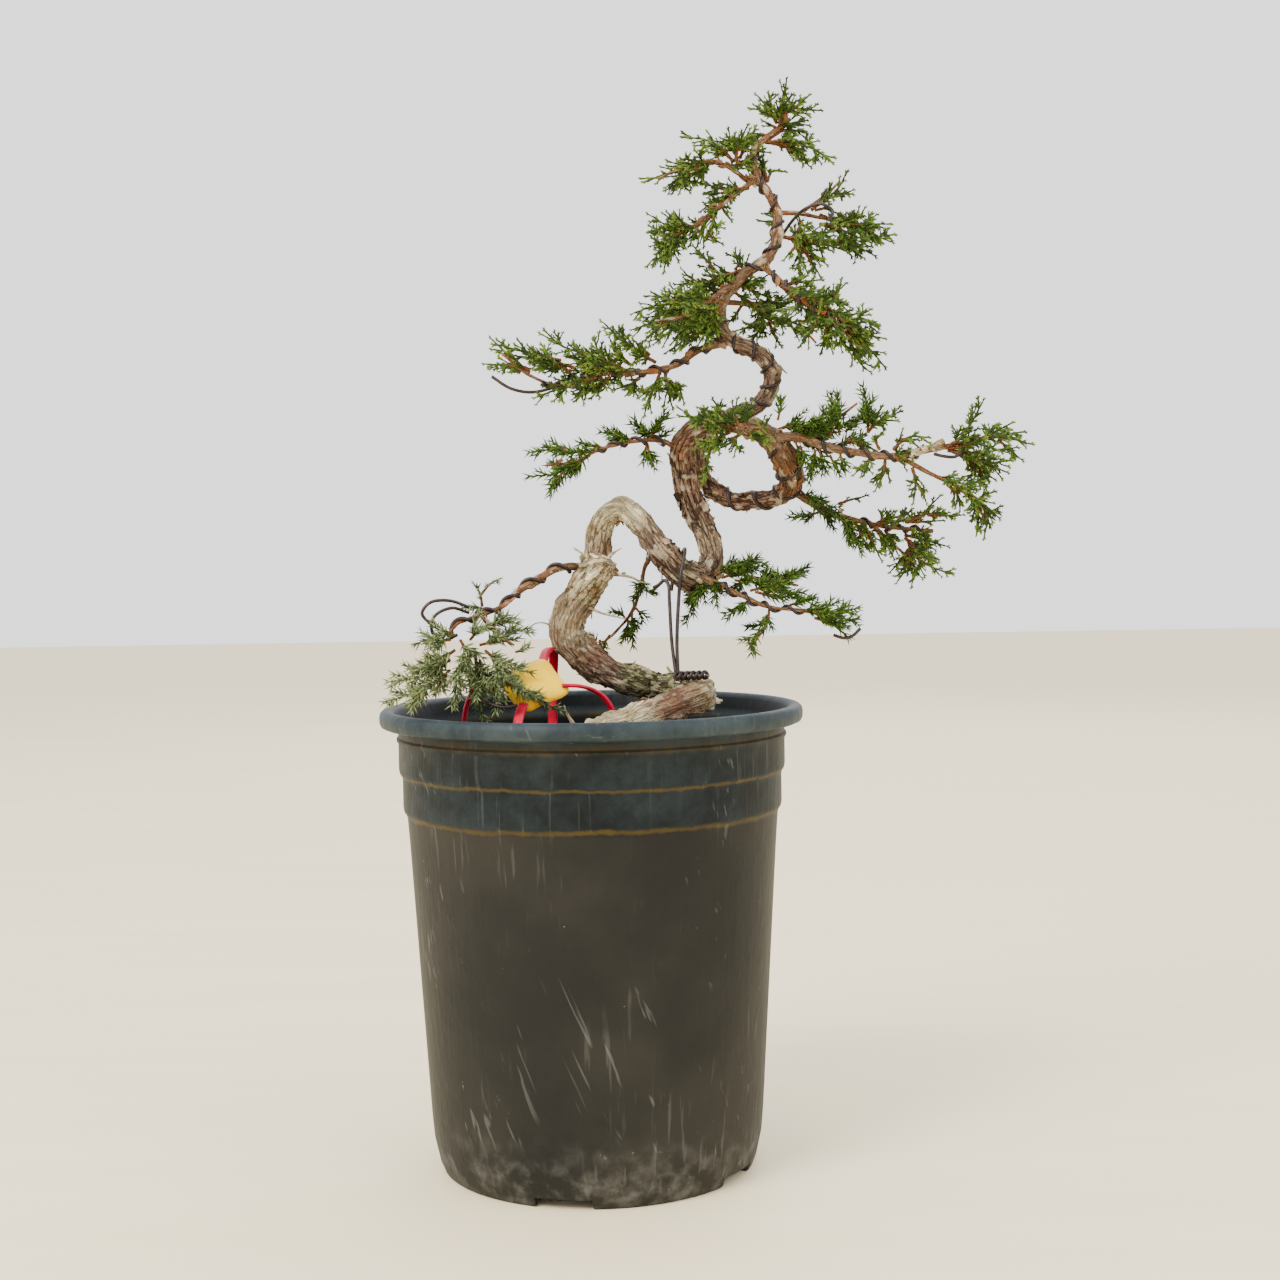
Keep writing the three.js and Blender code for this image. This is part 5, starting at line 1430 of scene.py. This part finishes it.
        ("s", 3, (109.4, 14, 90.7), (112, 12.6, 84.7), (115, 11, 77.5)),
        ("s", 4, (113.4, 14.4, 89.4), (117.4, 15.3, 84), (120.7, 16, 78)),
        ("s", 4, (117.6, 16, 88.6), (120.5, 14, 83.4), (122, 12.7, 79.4)),
        ("s", 4, (111.4, 14, 90.6), (119.6, 15.7, 91.7), (125.7, 17, 93), (136, 19, 95)),
        ("s", 1, (115.5, 15, 92), (118.7, 15, 93.7), (120, 14.6, 95)),
        ("s", 2, (123.7, 16.6, 92.5), (126, 17.5, 94.4), (128, 18, 96)),
        ("s", 1, (127.7, 17, 92.4), (133.7, 17, 94.3), (135, 17.3, 97), (139, 17.5, 101)),
        ("s", 2, (135, 18, 94.3), (139.6, 17, 94), (147.7, 15, 94)),
        ("s", 1, (125.7, 17, 91.6), (132, 17.5, 91.6), (140, 18.6, 92)),
        ("s", 4, (125.6, 17, 86.5), (133, 14, 84.4), (140.7, 11.6, 82)),
        ("s", 3, (125.6, 17, 85.3), (131, 18, 81), (137.5, 19.5, 76.3)),
        ("s", 4, (127.6, 17, 84.5), (130.6, 16, 77), (135.3, 15.5, 74), (143.5, 14.5, 70.7)),
        ("s", 5, (127, 17, 84.5), (128.6, 19, 78), (130, 20.5, 72.4), (129, 22, 67)),
        ("s", 2, (126.7, 16.3, 80.5), (123.5, 16.5, 76), (120.3, 16.6, 72.6)),
        ("s", 3, (127.5, 16.5, 78.5), (125.3, 15, 72.6), (122.3, 14, 68.3)),
        ("n", 4, (101.3, 12, 93), (103.3, 13, 87), (105.3, 13, 85)),
        ("n", 3, (91, 8, 97), (94, 6.4, 93.6), (96, 5, 89.6)),
    ],
    "bottom_right": [
        ("n", 4, (49, -7.4, 72), (54.5, -9.5, 74.7), (60, -11.5, 77), (67.7, -14, 76.5)),
        ("n", 4, (51.4, -9.5, 71), (57.7, -8, 73), (63, -7, 77.6)),
        ("n", 3, (56.3, -11.5, 70), (64, -12.4, 69), (67.7, -13, 70)),
        ("n", 4, (62, -15, 66), (69.7, -12.5, 68), (75.6, -11, 69), (82.7, -8.5, 72.7)),
        ("n", 3, (73, -18.6, 69), (79, -18.4, 72), (83.5, -18, 75)),
        ("n", 3, (63.7, -15.6, 65.5), (71, -17.4, 64), (80, -19.4, 63.4)),
        ("n", 3, (76.7, -19, 60.4), (82.5, -18.4, 62), (86, -18, 63.6)),
        ("n", 4, (80.5, -20, 58.5), (88, -22.3, 57.7), (95, -25, 57.6), (101.7, -27, 59)),
        ("n", 4, (86, -20, 55.3), (94, -18.5, 53.6), (99.7, -17.3, 54.3), (103, -16.6, 52.3)),
        ("n", 4, (92, -20, 53.7), (95.5, -20.6, 50.6), (98.5, -21, 48)),
        ("n", 3, (93.7, -20, 57), (97, -19, 58.6), (99, -18.3, 60)),
        ("n", 3, (69, -18, 60), (68.4, -18, 55), (65, -18, 49), (58.4, -17.6, 47.3)),
        ("n", 3, (66, -18, 50), (62, -19.4, 45.4), (63.5, -20, 42.7)),
        ("n", 4, (45, -4, 72), (43, -3.4, 66.3), (40, -2.6, 60.5), (37.5, -1.7, 54)),
        ("n", 4, (47.6, -7.4, 71), (48.7, -9, 66.3), (49.3, -11, 60.6)),
        ("n", 4, (44, -5, 69.4), (42, -4.3, 66.3), (38.3, -3, 61.7)),
        ("n", 3, (61.7, -15, 62.4), (57, -16, 59.5), (53, -16.4, 55.7)),
        ("n", 3, (71, -18.4, 66), (73, -17, 70), (72.5, -16.3, 72.6)),
    ],
    "bottom_back": [
        ("n", 4, (55.3, 8, 72), (63, 5.4, 74.4), (69, 3.5, 75.5)),
        ("n", 4, (65.4, 13, 69.6), (75.5, 14.7, 71.4), (81.5, 16, 70)),
        ("n", 4, (69.5, 14.4, 68.3), (77.3, 13.5, 65.4), (83, 13, 63)),
        ("n", 3, (61.4, 11, 70.4), (57.4, 13, 66.5), (54.7, 13.7, 65)),
    ],
    "inner": [
        ("n", 3, (20.6, 8.4, 72.3), (19.7, 6.5, 66.5), (17.3, 5, 62.6)),
        ("n", 1, (21.7, 12, 66.3), (23.7, 12.4, 65.5), (26, 13, 64.6)),
        ("n", 4, (16.4, 16.5, 57.5), (16.3, 16, 51), (16.6, 15, 44.4)),
        ("n", 3, (18, 15.5, 59), (19.6, 16, 57), (20.3, 17, 54)),
        ("n", 3, (13.6, 17.3, 55), (11.6, 17.4, 57.6), (8.4, 17.5, 57.6)),
        ("n", 3, (15, 17.3, 54.3), (13.5, 16, 48.4), (12, 15.3, 45.7)),
        ("n", 4, (7.5, 18, 48.4), (3.4, 18.5, 44.4), (-0.6, 19, 46.5)),
        ("n", 4, (3.4, 17.4, 46.5), (4, 15.5, 40.6), (6, 15, 39.4)),
        ("n", 3, (1.4, 17, 46.5), (-1.7, 18, 48.6), (-4, 18.4, 46.6)),
        ("n", 3, (0, 17, 44.6), (0, 16.6, 40.6), (2.5, 16, 38)),
    ],
    "bottom_left": [
        ("n", 4, (-48.4, -46, 52), (-53.7, -48, 54), (-56.5, -49.3, 55.7)),
        ("n", 5, (-50, -48, 50.4), (-56, -47, 50.4), (-59.5, -46, 50.5), (-63.3, -45.3, 48.6)),
        ("n", 5, (-48.4, -48, 46.7), (-54, -49, 43), (-61, -50, 39.7), (-66.5, -50.5, 41.6)),
        ("n", 5, (-50.3, -48, 43), (-60, -44.7, 37.5), (-67.6, -42.4, 35.6), (-74, -40.5, 35)),
        ("n", 5, (-50.4, -48, 39.4), (-58, -47.7, 33), (-67, -47.3, 30), (-75, -47, 28)),
        ("n", 5, (-44.7, -48, 46.7), (-46.5, -50, 39.5), (-48.3, -51.6, 32.3), (-48.3, -53, 26)),
        ("n", 5, (-41.7, -40.3, 46), (-41, -39, 35), (-40.5, -37.5, 25.5), (-39, -36.5, 17.6)),
        ("n", 5, (-40, -41, 42.5), (-36, -45, 31.6), (-32.3, -47.7, 24.4)),
        ("n", 4, (-38, -41, 46), (-31, -39, 40.4), (-21.7, -37, 37.5)),
        ("n", 4, (-36, -42, 44.4), (-29, -44, 33.3), (-19.6, -45, 29)),
        ("n", 3, (-32.3, -45, 35), (-23.4, -42, 31), (-16, -39.3, 26), (-11, -37.4, 23)),
        ("n", 5, (-40, -39.6, 48), (-32.5, -39.3, 49.7), (-27, -39, 52.6), (-21.3, -39, 54)),
        ("n", 4, (-36, -37.5, 55.3), (-30.5, -39, 56.3), (-26.7, -40, 58)),
        ("n", 2, (-38.3, -32.4, 60.7), (-42, -32, 62), (-46.7, -31.3, 61.6)),
        ("d", 1, (-39.4, -32.4, 62), (-40, -34, 67), (-42.4, -35.7, 71)),
        ("d", 1, (-40, -31.6, 66.3), (-36.4, -30.5, 70.4), (-32.3, -29.6, 72.5)),
        ("n", 5, (-46.6, -46, 50.3), (-43, -47, 43), (-43, -48, 35.6)),
        ("n", 4, (-54, -48, 41.3), (-54.4, -46, 34), (-52.7, -45, 32)),
        ("n", 5, (-43.5, -40.4, 50), (-39.7, -40, 53.6), (-34, -40, 55.3)),
        ("n", 4, (-58, -48, 34), (-63, -50, 28.7), (-64.3, -51, 25)),
        ("n", 2, (-26.6, -45, 45.5), (-24, -44.6, 46), (-22, -44.3, 47)),
        ("n", 4, (-30.4, -45, 42.6), (-34, -48, 35.5), (-32, -50.4, 28.3)),
    ],
}


# %% Twig and needle shapes
def cord(line, thick, sides=4):
    """A tapering cord along a line of points, closed at both ends."""
    line = np.array(line, float)
    ahead, side, up = carried(line)
    corners, faces = [], []
    widths = [thick * (1.0 if row < len(line) - 2 else 0.8) for row in range(len(line) - 1)]
    for row, width in enumerate(widths):
        for turn in range(sides):
            angle = tau * (turn + 0.5) / sides
            corners.append(line[row] + width * (side[row] * cos(angle) + up[row] * sin(angle)))
    for row in range(len(widths) - 1):
        for turn in range(sides):
            a, b = row * sides + turn, row * sides + (turn + 1) % sides
            faces.append((a, b, b + sides, a + sides))
    corners.append(line[-1])
    tip, start = len(corners) - 1, (len(widths) - 1) * sides
    faces += [(start + turn, start + (turn + 1) % sides, tip) for turn in range(sides)]
    faces.append(tuple(range(sides - 1, -1, -1)))
    return corners, faces


def several(parts):
    """One shape from several, with how far out each corner is stored as its tip value."""
    corners, faces = [], []
    for more, loops in parts:
        faces += [tuple(spot + len(corners) for spot in loop) for loop in loops]
        corners += list(more)
    far = np.linalg.norm(np.array(corners), axis=1)
    return corners, faces, {"tip": far / far.max()}


def forked_twig():
    main = [(0, 0, 0), (0.35, 0.02, 0), (0.7, 0, 0.02), (1, -0.03, 0.03)]
    left = [(0.3, 0.02, 0), (0.5, 0.2, 0.02), (0.72, 0.34, 0.03)]
    right = [(0.5, 0, 0), (0.68, -0.15, 0), (0.86, -0.27, -0.02)]
    return several([cord(main, 0.125), cord(left, 0.115), cord(right, 0.11)])


def needle_ring():
    needles = []
    for turn in range(3):
        angle = tau * turn / 3
        spread = Vector((0, cos(angle), sin(angle)))
        line = [Vector((0.0, 0, 0)) + spread * 0.04, Vector((0.3, 0, 0)) + spread * 0.26,
                Vector((0.78, 0, 0)) + spread * 0.56]
        needles.append(cord([tuple(point) for point in line], 0.1, 3))
    return several(needles)


# %% The tree that leafs a shoot
net, given, close = new_tree("leafed_shoots", {
    "Leaf": "Object", "Spacing": "Float", "Leaf Length": "Float", "Spread": "Float",
    "Alternate": "Float", "Bare Start": "Float", "Knobs": "Float", "Seed": "Int",
    "Material": "Material"})


def kept_value(kind, name):
    return net.add("GeometryNodeInputNamedAttribute", {"data_type": kind}, {"Name": name})


lines = net.add("GeometryNodeMeshToCurve", {}, {"Mesh": given["Geometry"]})
index = net.add("GeometryNodeInputIndex")
share = net.add("GeometryNodeSplineParameter")
knobbly = net.add("GeometryNodeResampleCurve", {"mode": "LENGTH"}, {"Curve": lines, "Length": 0.0011})
knob = 1 + (index % 2.0 - 0.5) * given["Knobs"]
slim = 1 - share * 0.35
knobbly = net.add("GeometryNodeSetCurveRadius", {}, {
    "Curve": knobbly, "Radius": kept_value("FLOAT", "thick") * knob * slim})
section = net.add("GeometryNodeCurvePrimitiveCircle", {}, {"Resolution": 5, "Radius": 1.0})
stems = net.add("GeometryNodeCurveToMesh", {}, {
    "Curve": knobbly, "Profile Curve": section, "Scale": kept_value("FLOAT", "thick") * knob * slim,
    "Fill Caps": True})
steps = net.add("GeometryNodeResampleCurve", {"mode": "LENGTH"}, {"Curve": lines,
                                                                  "Length": given["Spacing"]})
ahead = net.add("GeometryNodeInputTangent")
face = kept_value("FLOAT_VECTOR", "flat")
stand = net.add("FunctionNodeAlignRotationToVector", {"axis": "X"}, {"Vector": ahead})
stand = net.add("FunctionNodeAlignRotationToVector", {"axis": "Z", "pivot_axis": "X"},
                {"Rotation": stand, "Vector": face})
left_right = (index % 2.0) * 2 - 1
last = share.above(0.985, 0.995)
swing = left_right * given["Spread"] * given["Alternate"] * (1 - last)
roll = (1 - given["Alternate"]) * index * 1.05
turn = net.add("ShaderNodeCombineXYZ", {}, {0: roll + random_number(net, -0.35, 0.35, 21),
                                            1: random_number(net, -0.22, 0.22, 22),
                                            2: swing + random_number(net, -0.16, 0.16, 23)})
turn = net.add("FunctionNodeEulerToRotation", {}, {"Euler": turn})
stand = net.add("FunctionNodeRotateRotation", {"rotation_space": "LOCAL"},
                {"Rotation": stand, "Rotate By": turn})
leaf = net.add("GeometryNodeObjectInfo", {}, {"Object": given["Leaf"]}, "Geometry")
length = given["Leaf Length"] * random_number(net, 0.7, 1.2, given["Seed"]) * (1 - share * 0.3)
leafy = net.add("FunctionNodeCompare", {"data_type": "FLOAT", "operation": "GREATER_EQUAL"},
                {0: share, 1: given["Bare Start"] * kept_value("FLOAT", "bare")})
leaves = net.add("GeometryNodeInstanceOnPoints", {}, {
    "Points": steps, "Selection": leafy, "Instance": leaf, "Rotation": stand,
    "Scale": net.add("ShaderNodeCombineXYZ", {}, {0: length, 1: length, 2: length})})
shade = random_number(net, 0.0, 1.0, 31)
leaves = net.add("GeometryNodeStoreNamedAttribute", {"data_type": "FLOAT", "domain": "INSTANCE"},
                 {"Geometry": leaves, "Name": "shade", "Value": shade})
leaves = net.add("GeometryNodeStoreNamedAttribute", {"data_type": "FLOAT", "domain": "INSTANCE"},
                 {"Geometry": leaves, "Name": "leaf", "Value": 1.0})
both = net.add("GeometryNodeJoinGeometry", {}, {"Geometry": leaves})
net.tree.links.new(stems.socket, both.socket.node.inputs["Geometry"])
leafed_shoots = close(both)
print("the leafing tree has", len(leafed_shoots.nodes), "nodes")


# %% Foliage colour
def leaf_look(dark, light, tips, sharp):
    """Green that varies from twig to twig, yellower at the tips, and orange-brown on the stems."""
    def look(net):
        where = net.place()
        cloud = net.noise(where, 55, 3)
        fine = net.noise(where, 1500, 3)
        shade = net.stored("shade")
        leaf = net.stored("leaf")
        tip = net.stored("tip")
        colour = net.mix((shade * 0.7 + cloud * 0.9 - 0.4).above(0.0, 0.8), rgb(dark), rgb(light))
        colour = net.mix(tip.above(0.5, 1.0) * leaf * (shade + cloud - 0.4).above(0.2, 0.9) * sharp,
                         colour, rgb(tips))
        colour = net.mix(fine.above(0.55, 0.7) * 0.3, colour, rgb("7c8c34"))
        woody = net.mix(fine.above(0.4, 0.6), rgb("3f2815"), rgb("754a26"))
        stem = (1 - leaf) * (net.stored("age") + cloud * 0.3 - 0.15).above(0.3, 0.6)
        colour = net.mix(stem, colour, woody)
        return {"Base Color": colour, "Roughness": 0.5 + fine * 0.25, "Bump": (fine, 0.0002)}
    return look


green = finish("scale_leaf", leaf_look("26350f", "4f6a20", "8c8a3a", 0.7), Specular_IOR_Level=0.12)
needle_green = finish("needle_leaf", leaf_look("253810", "4c6a20", "8a7a34", 0.45),
                      Specular_IOR_Level=0.12)
grey_green = finish("grey_needle_leaf", leaf_look("424f30", "8c9a68", "96744a", 0.6),
                    Specular_IOR_Level=0.12)

# %% [markdown]
# The side shoots are worked out here rather than in the tree, because each one needs the plane of its
# spray. The listed shoots lie as they are seen from the front. Every second one also gets a
# shorter sister that swings towards the front or the back, so that a spray is as deep as it is on the
# real branch and holds up from the side.


# %% Side shoots and sisters
def turned_about(vector, axis, angle):
    return np.array(Matrix.Rotation(angle, 3, Vector(axis)) @ Vector(vector))


def plane_of(points, chance):
    """The direction that a spray faces: mostly towards the front, tipped at random."""
    ahead = points[-1] - points[0]
    ahead = ahead / np.linalg.norm(ahead)
    face = np.array((chance.uniform(-0.35, 0.35), -1.0, chance.uniform(-0.1, 0.75)))
    face = face - ahead * np.dot(face, ahead)
    return face / np.linalg.norm(face)


def side_shoots(points, face, reach, gap, chance, twice):
    """Lines leaving a shoot left and right in turn, within the plane of its spray."""
    lines = []
    run = np.concatenate([[0], np.cumsum(np.linalg.norm(np.diff(points, axis=0), axis=1))])
    ahead = np.gradient(points, axis=0)
    ahead /= np.linalg.norm(ahead, axis=1)[:, None]
    spot, side = run[-1] * 0.16 + gap * 0.3, 1
    while spot < run[-1] - gap * 0.4:
        share = spot / run[-1]
        base = np.array([np.interp(spot, run, points[:, axis]) for axis in range(3)])
        direction = ahead[min(np.searchsorted(run, spot), len(ahead) - 1)]
        length = reach * (1.25 - 0.75 * share) * chance.uniform(0.75, 1.25)
        angle = side * radians(chance.uniform(34, 48))
        out = turned_about(direction, face, angle)
        bend = turned_about(direction, face, angle * 0.55)
        tilt = face * chance.uniform(-0.22, 0.22)
        middle = base + (out + tilt) * length * 0.55
        line = [base, middle, middle + (bend + tilt) * length * 0.5]
        lines.append((np.array(line), face, 0.1))
        if twice and length > 4.5:
            for part, other in ((0.5, -side), (0.8, side)):
                start = base + (middle - base) * part * 1.3
                away = turned_about(out, face, other * radians(40)) * length * 0.42
                lines.append((np.array([start, start + away * 0.6, start + away]), face, 0.0))
        spot += gap * chance.uniform(0.8, 1.2)
        side = -side
    return lines


def spray_lines(shoots, kind, chance):
    """Every line of one spray: the listed shoots, their sisters and all their side shoots."""
    lines = []
    for number, (leaf_kind, reach, *route) in enumerate(shoots):
        if leaf_kind != kind:
            continue
        points = followed([(*point, 1.0) for point in route], 1.2)[0]
        length = np.linalg.norm(points[-1] - points[0])
        mains = [(points, 1.0)]
        if length > 9 and reach > 1:
            swings = (1, -1) if reach > 3 else ((1,) if number % 2 else (-1,))
            for swing in swings:
                away = np.linspace(0, 1, len(points))[:, None] ** 1.3
                shrunk = points[0] + (points - points[0]) * (0.62 + 0.1 * swing)
                push = np.array((0, swing * length * chance.uniform(0.38, 0.55),
                                 length * chance.uniform(-0.1, 0.12)))
                mains.append((shrunk + away * push, 0.8))
        for main, part in mains:
            face = plane_of(main, chance)
            if part < 1:
                face = turned_about(face, (main[-1] - main[0]) / np.linalg.norm(main[-1] - main[0]),
                                    chance.uniform(-1.1, 1.1))
            lines.append((main, face, 0.75 if len(main) > 10 else 0.35))
            if reach:
                gap = 4.3 if kind == "s" else 4.6
                lines += side_shoots(main, face, reach * 1.15 * part, gap, chance, kind == "s")
    return lines


KINDS = {  # leaf shape, spacing, leaf length, spread, alternate, stem radius, knobs
    "s": ("twig", 2.6, 4.2, 0.56, 1.0, 0.46, 0.3),
    "n": ("needle", 1.5, 4.8, 0.0, 0.0, 0.36, 0.1),
    "d": ("needle", 1.9, 3.0, 0.0, 0.0, 0.4, 0.1),
}
shapes = {"twig": spare("twig", *forked_twig()), "needle": spare("needles", *needle_ring())}


def leafed(name, kind, lines, finish_used, seed):
    """One mesh of leafed shoots from lines in millimetres above the soil."""
    shape, spacing, leaf_length, spread, alternate, stem, knobs = KINDS[kind]
    values = {"thick": [], "flat": [], "age": [], "bare": []}
    placed = []
    for points, face, bare in lines:
        count = len(points)
        placed.append((points + (0, 0, soil_top / MM)) * MM)
        main = bare > 0.3
        fade = np.linspace(1, 0, count)
        values["thick"].append((stem * (1.25 if main else 1.0) * (0.9 + 0.35 * main * fade)) * MM)
        values["flat"].append(np.tile(face, (count, 1)))
        values["age"].append(fade * (0.9 if main else 0.1))
        values["bare"].append(np.full(count, 0.22 if main else 0.0))
    piece = line_piece(name, placed, {key: np.concatenate(parts) for key, parts in values.items()})
    return grown(piece, leafed_shoots, {
        "Leaf": shapes[shape], "Spacing": spacing * MM, "Leaf Length": leaf_length * MM,
        "Spread": spread, "Alternate": alternate, "Bare Start": 1.0, "Knobs": knobs, "Seed": seed,
        "Material": finish_used})


# %% Grow the sprays
def joined(name, parts):
    """One mesh from several pieces, keeping their stored values and finishes."""
    for part in parts:
        part.select_set(True)
    bpy.context.view_layer.objects.active = parts[0]
    with bpy.context.temp_override(active_object=parts[0], selected_editable_objects=parts):
        bpy.ops.object.join()
    parts[0].name = name
    return parts[0]


for seed, (name, shoots) in enumerate(SHOOTS.items()):
    chance = random.Random(40 + seed)
    grey = name == "bottom_left"
    parts = []
    for kind in sorted({shoot[0] for shoot in shoots}):
        look = grey_green if grey else green if kind == "s" else needle_green
        lines = spray_lines(shoots, kind, chance)
        parts.append(leafed(f"part_{kind}", kind, lines, look, seed))
    spray = joined("sprays_" + name, parts)
    settle(spray, "foliage_grey" if grey else "foliage", "foliage_" + name)
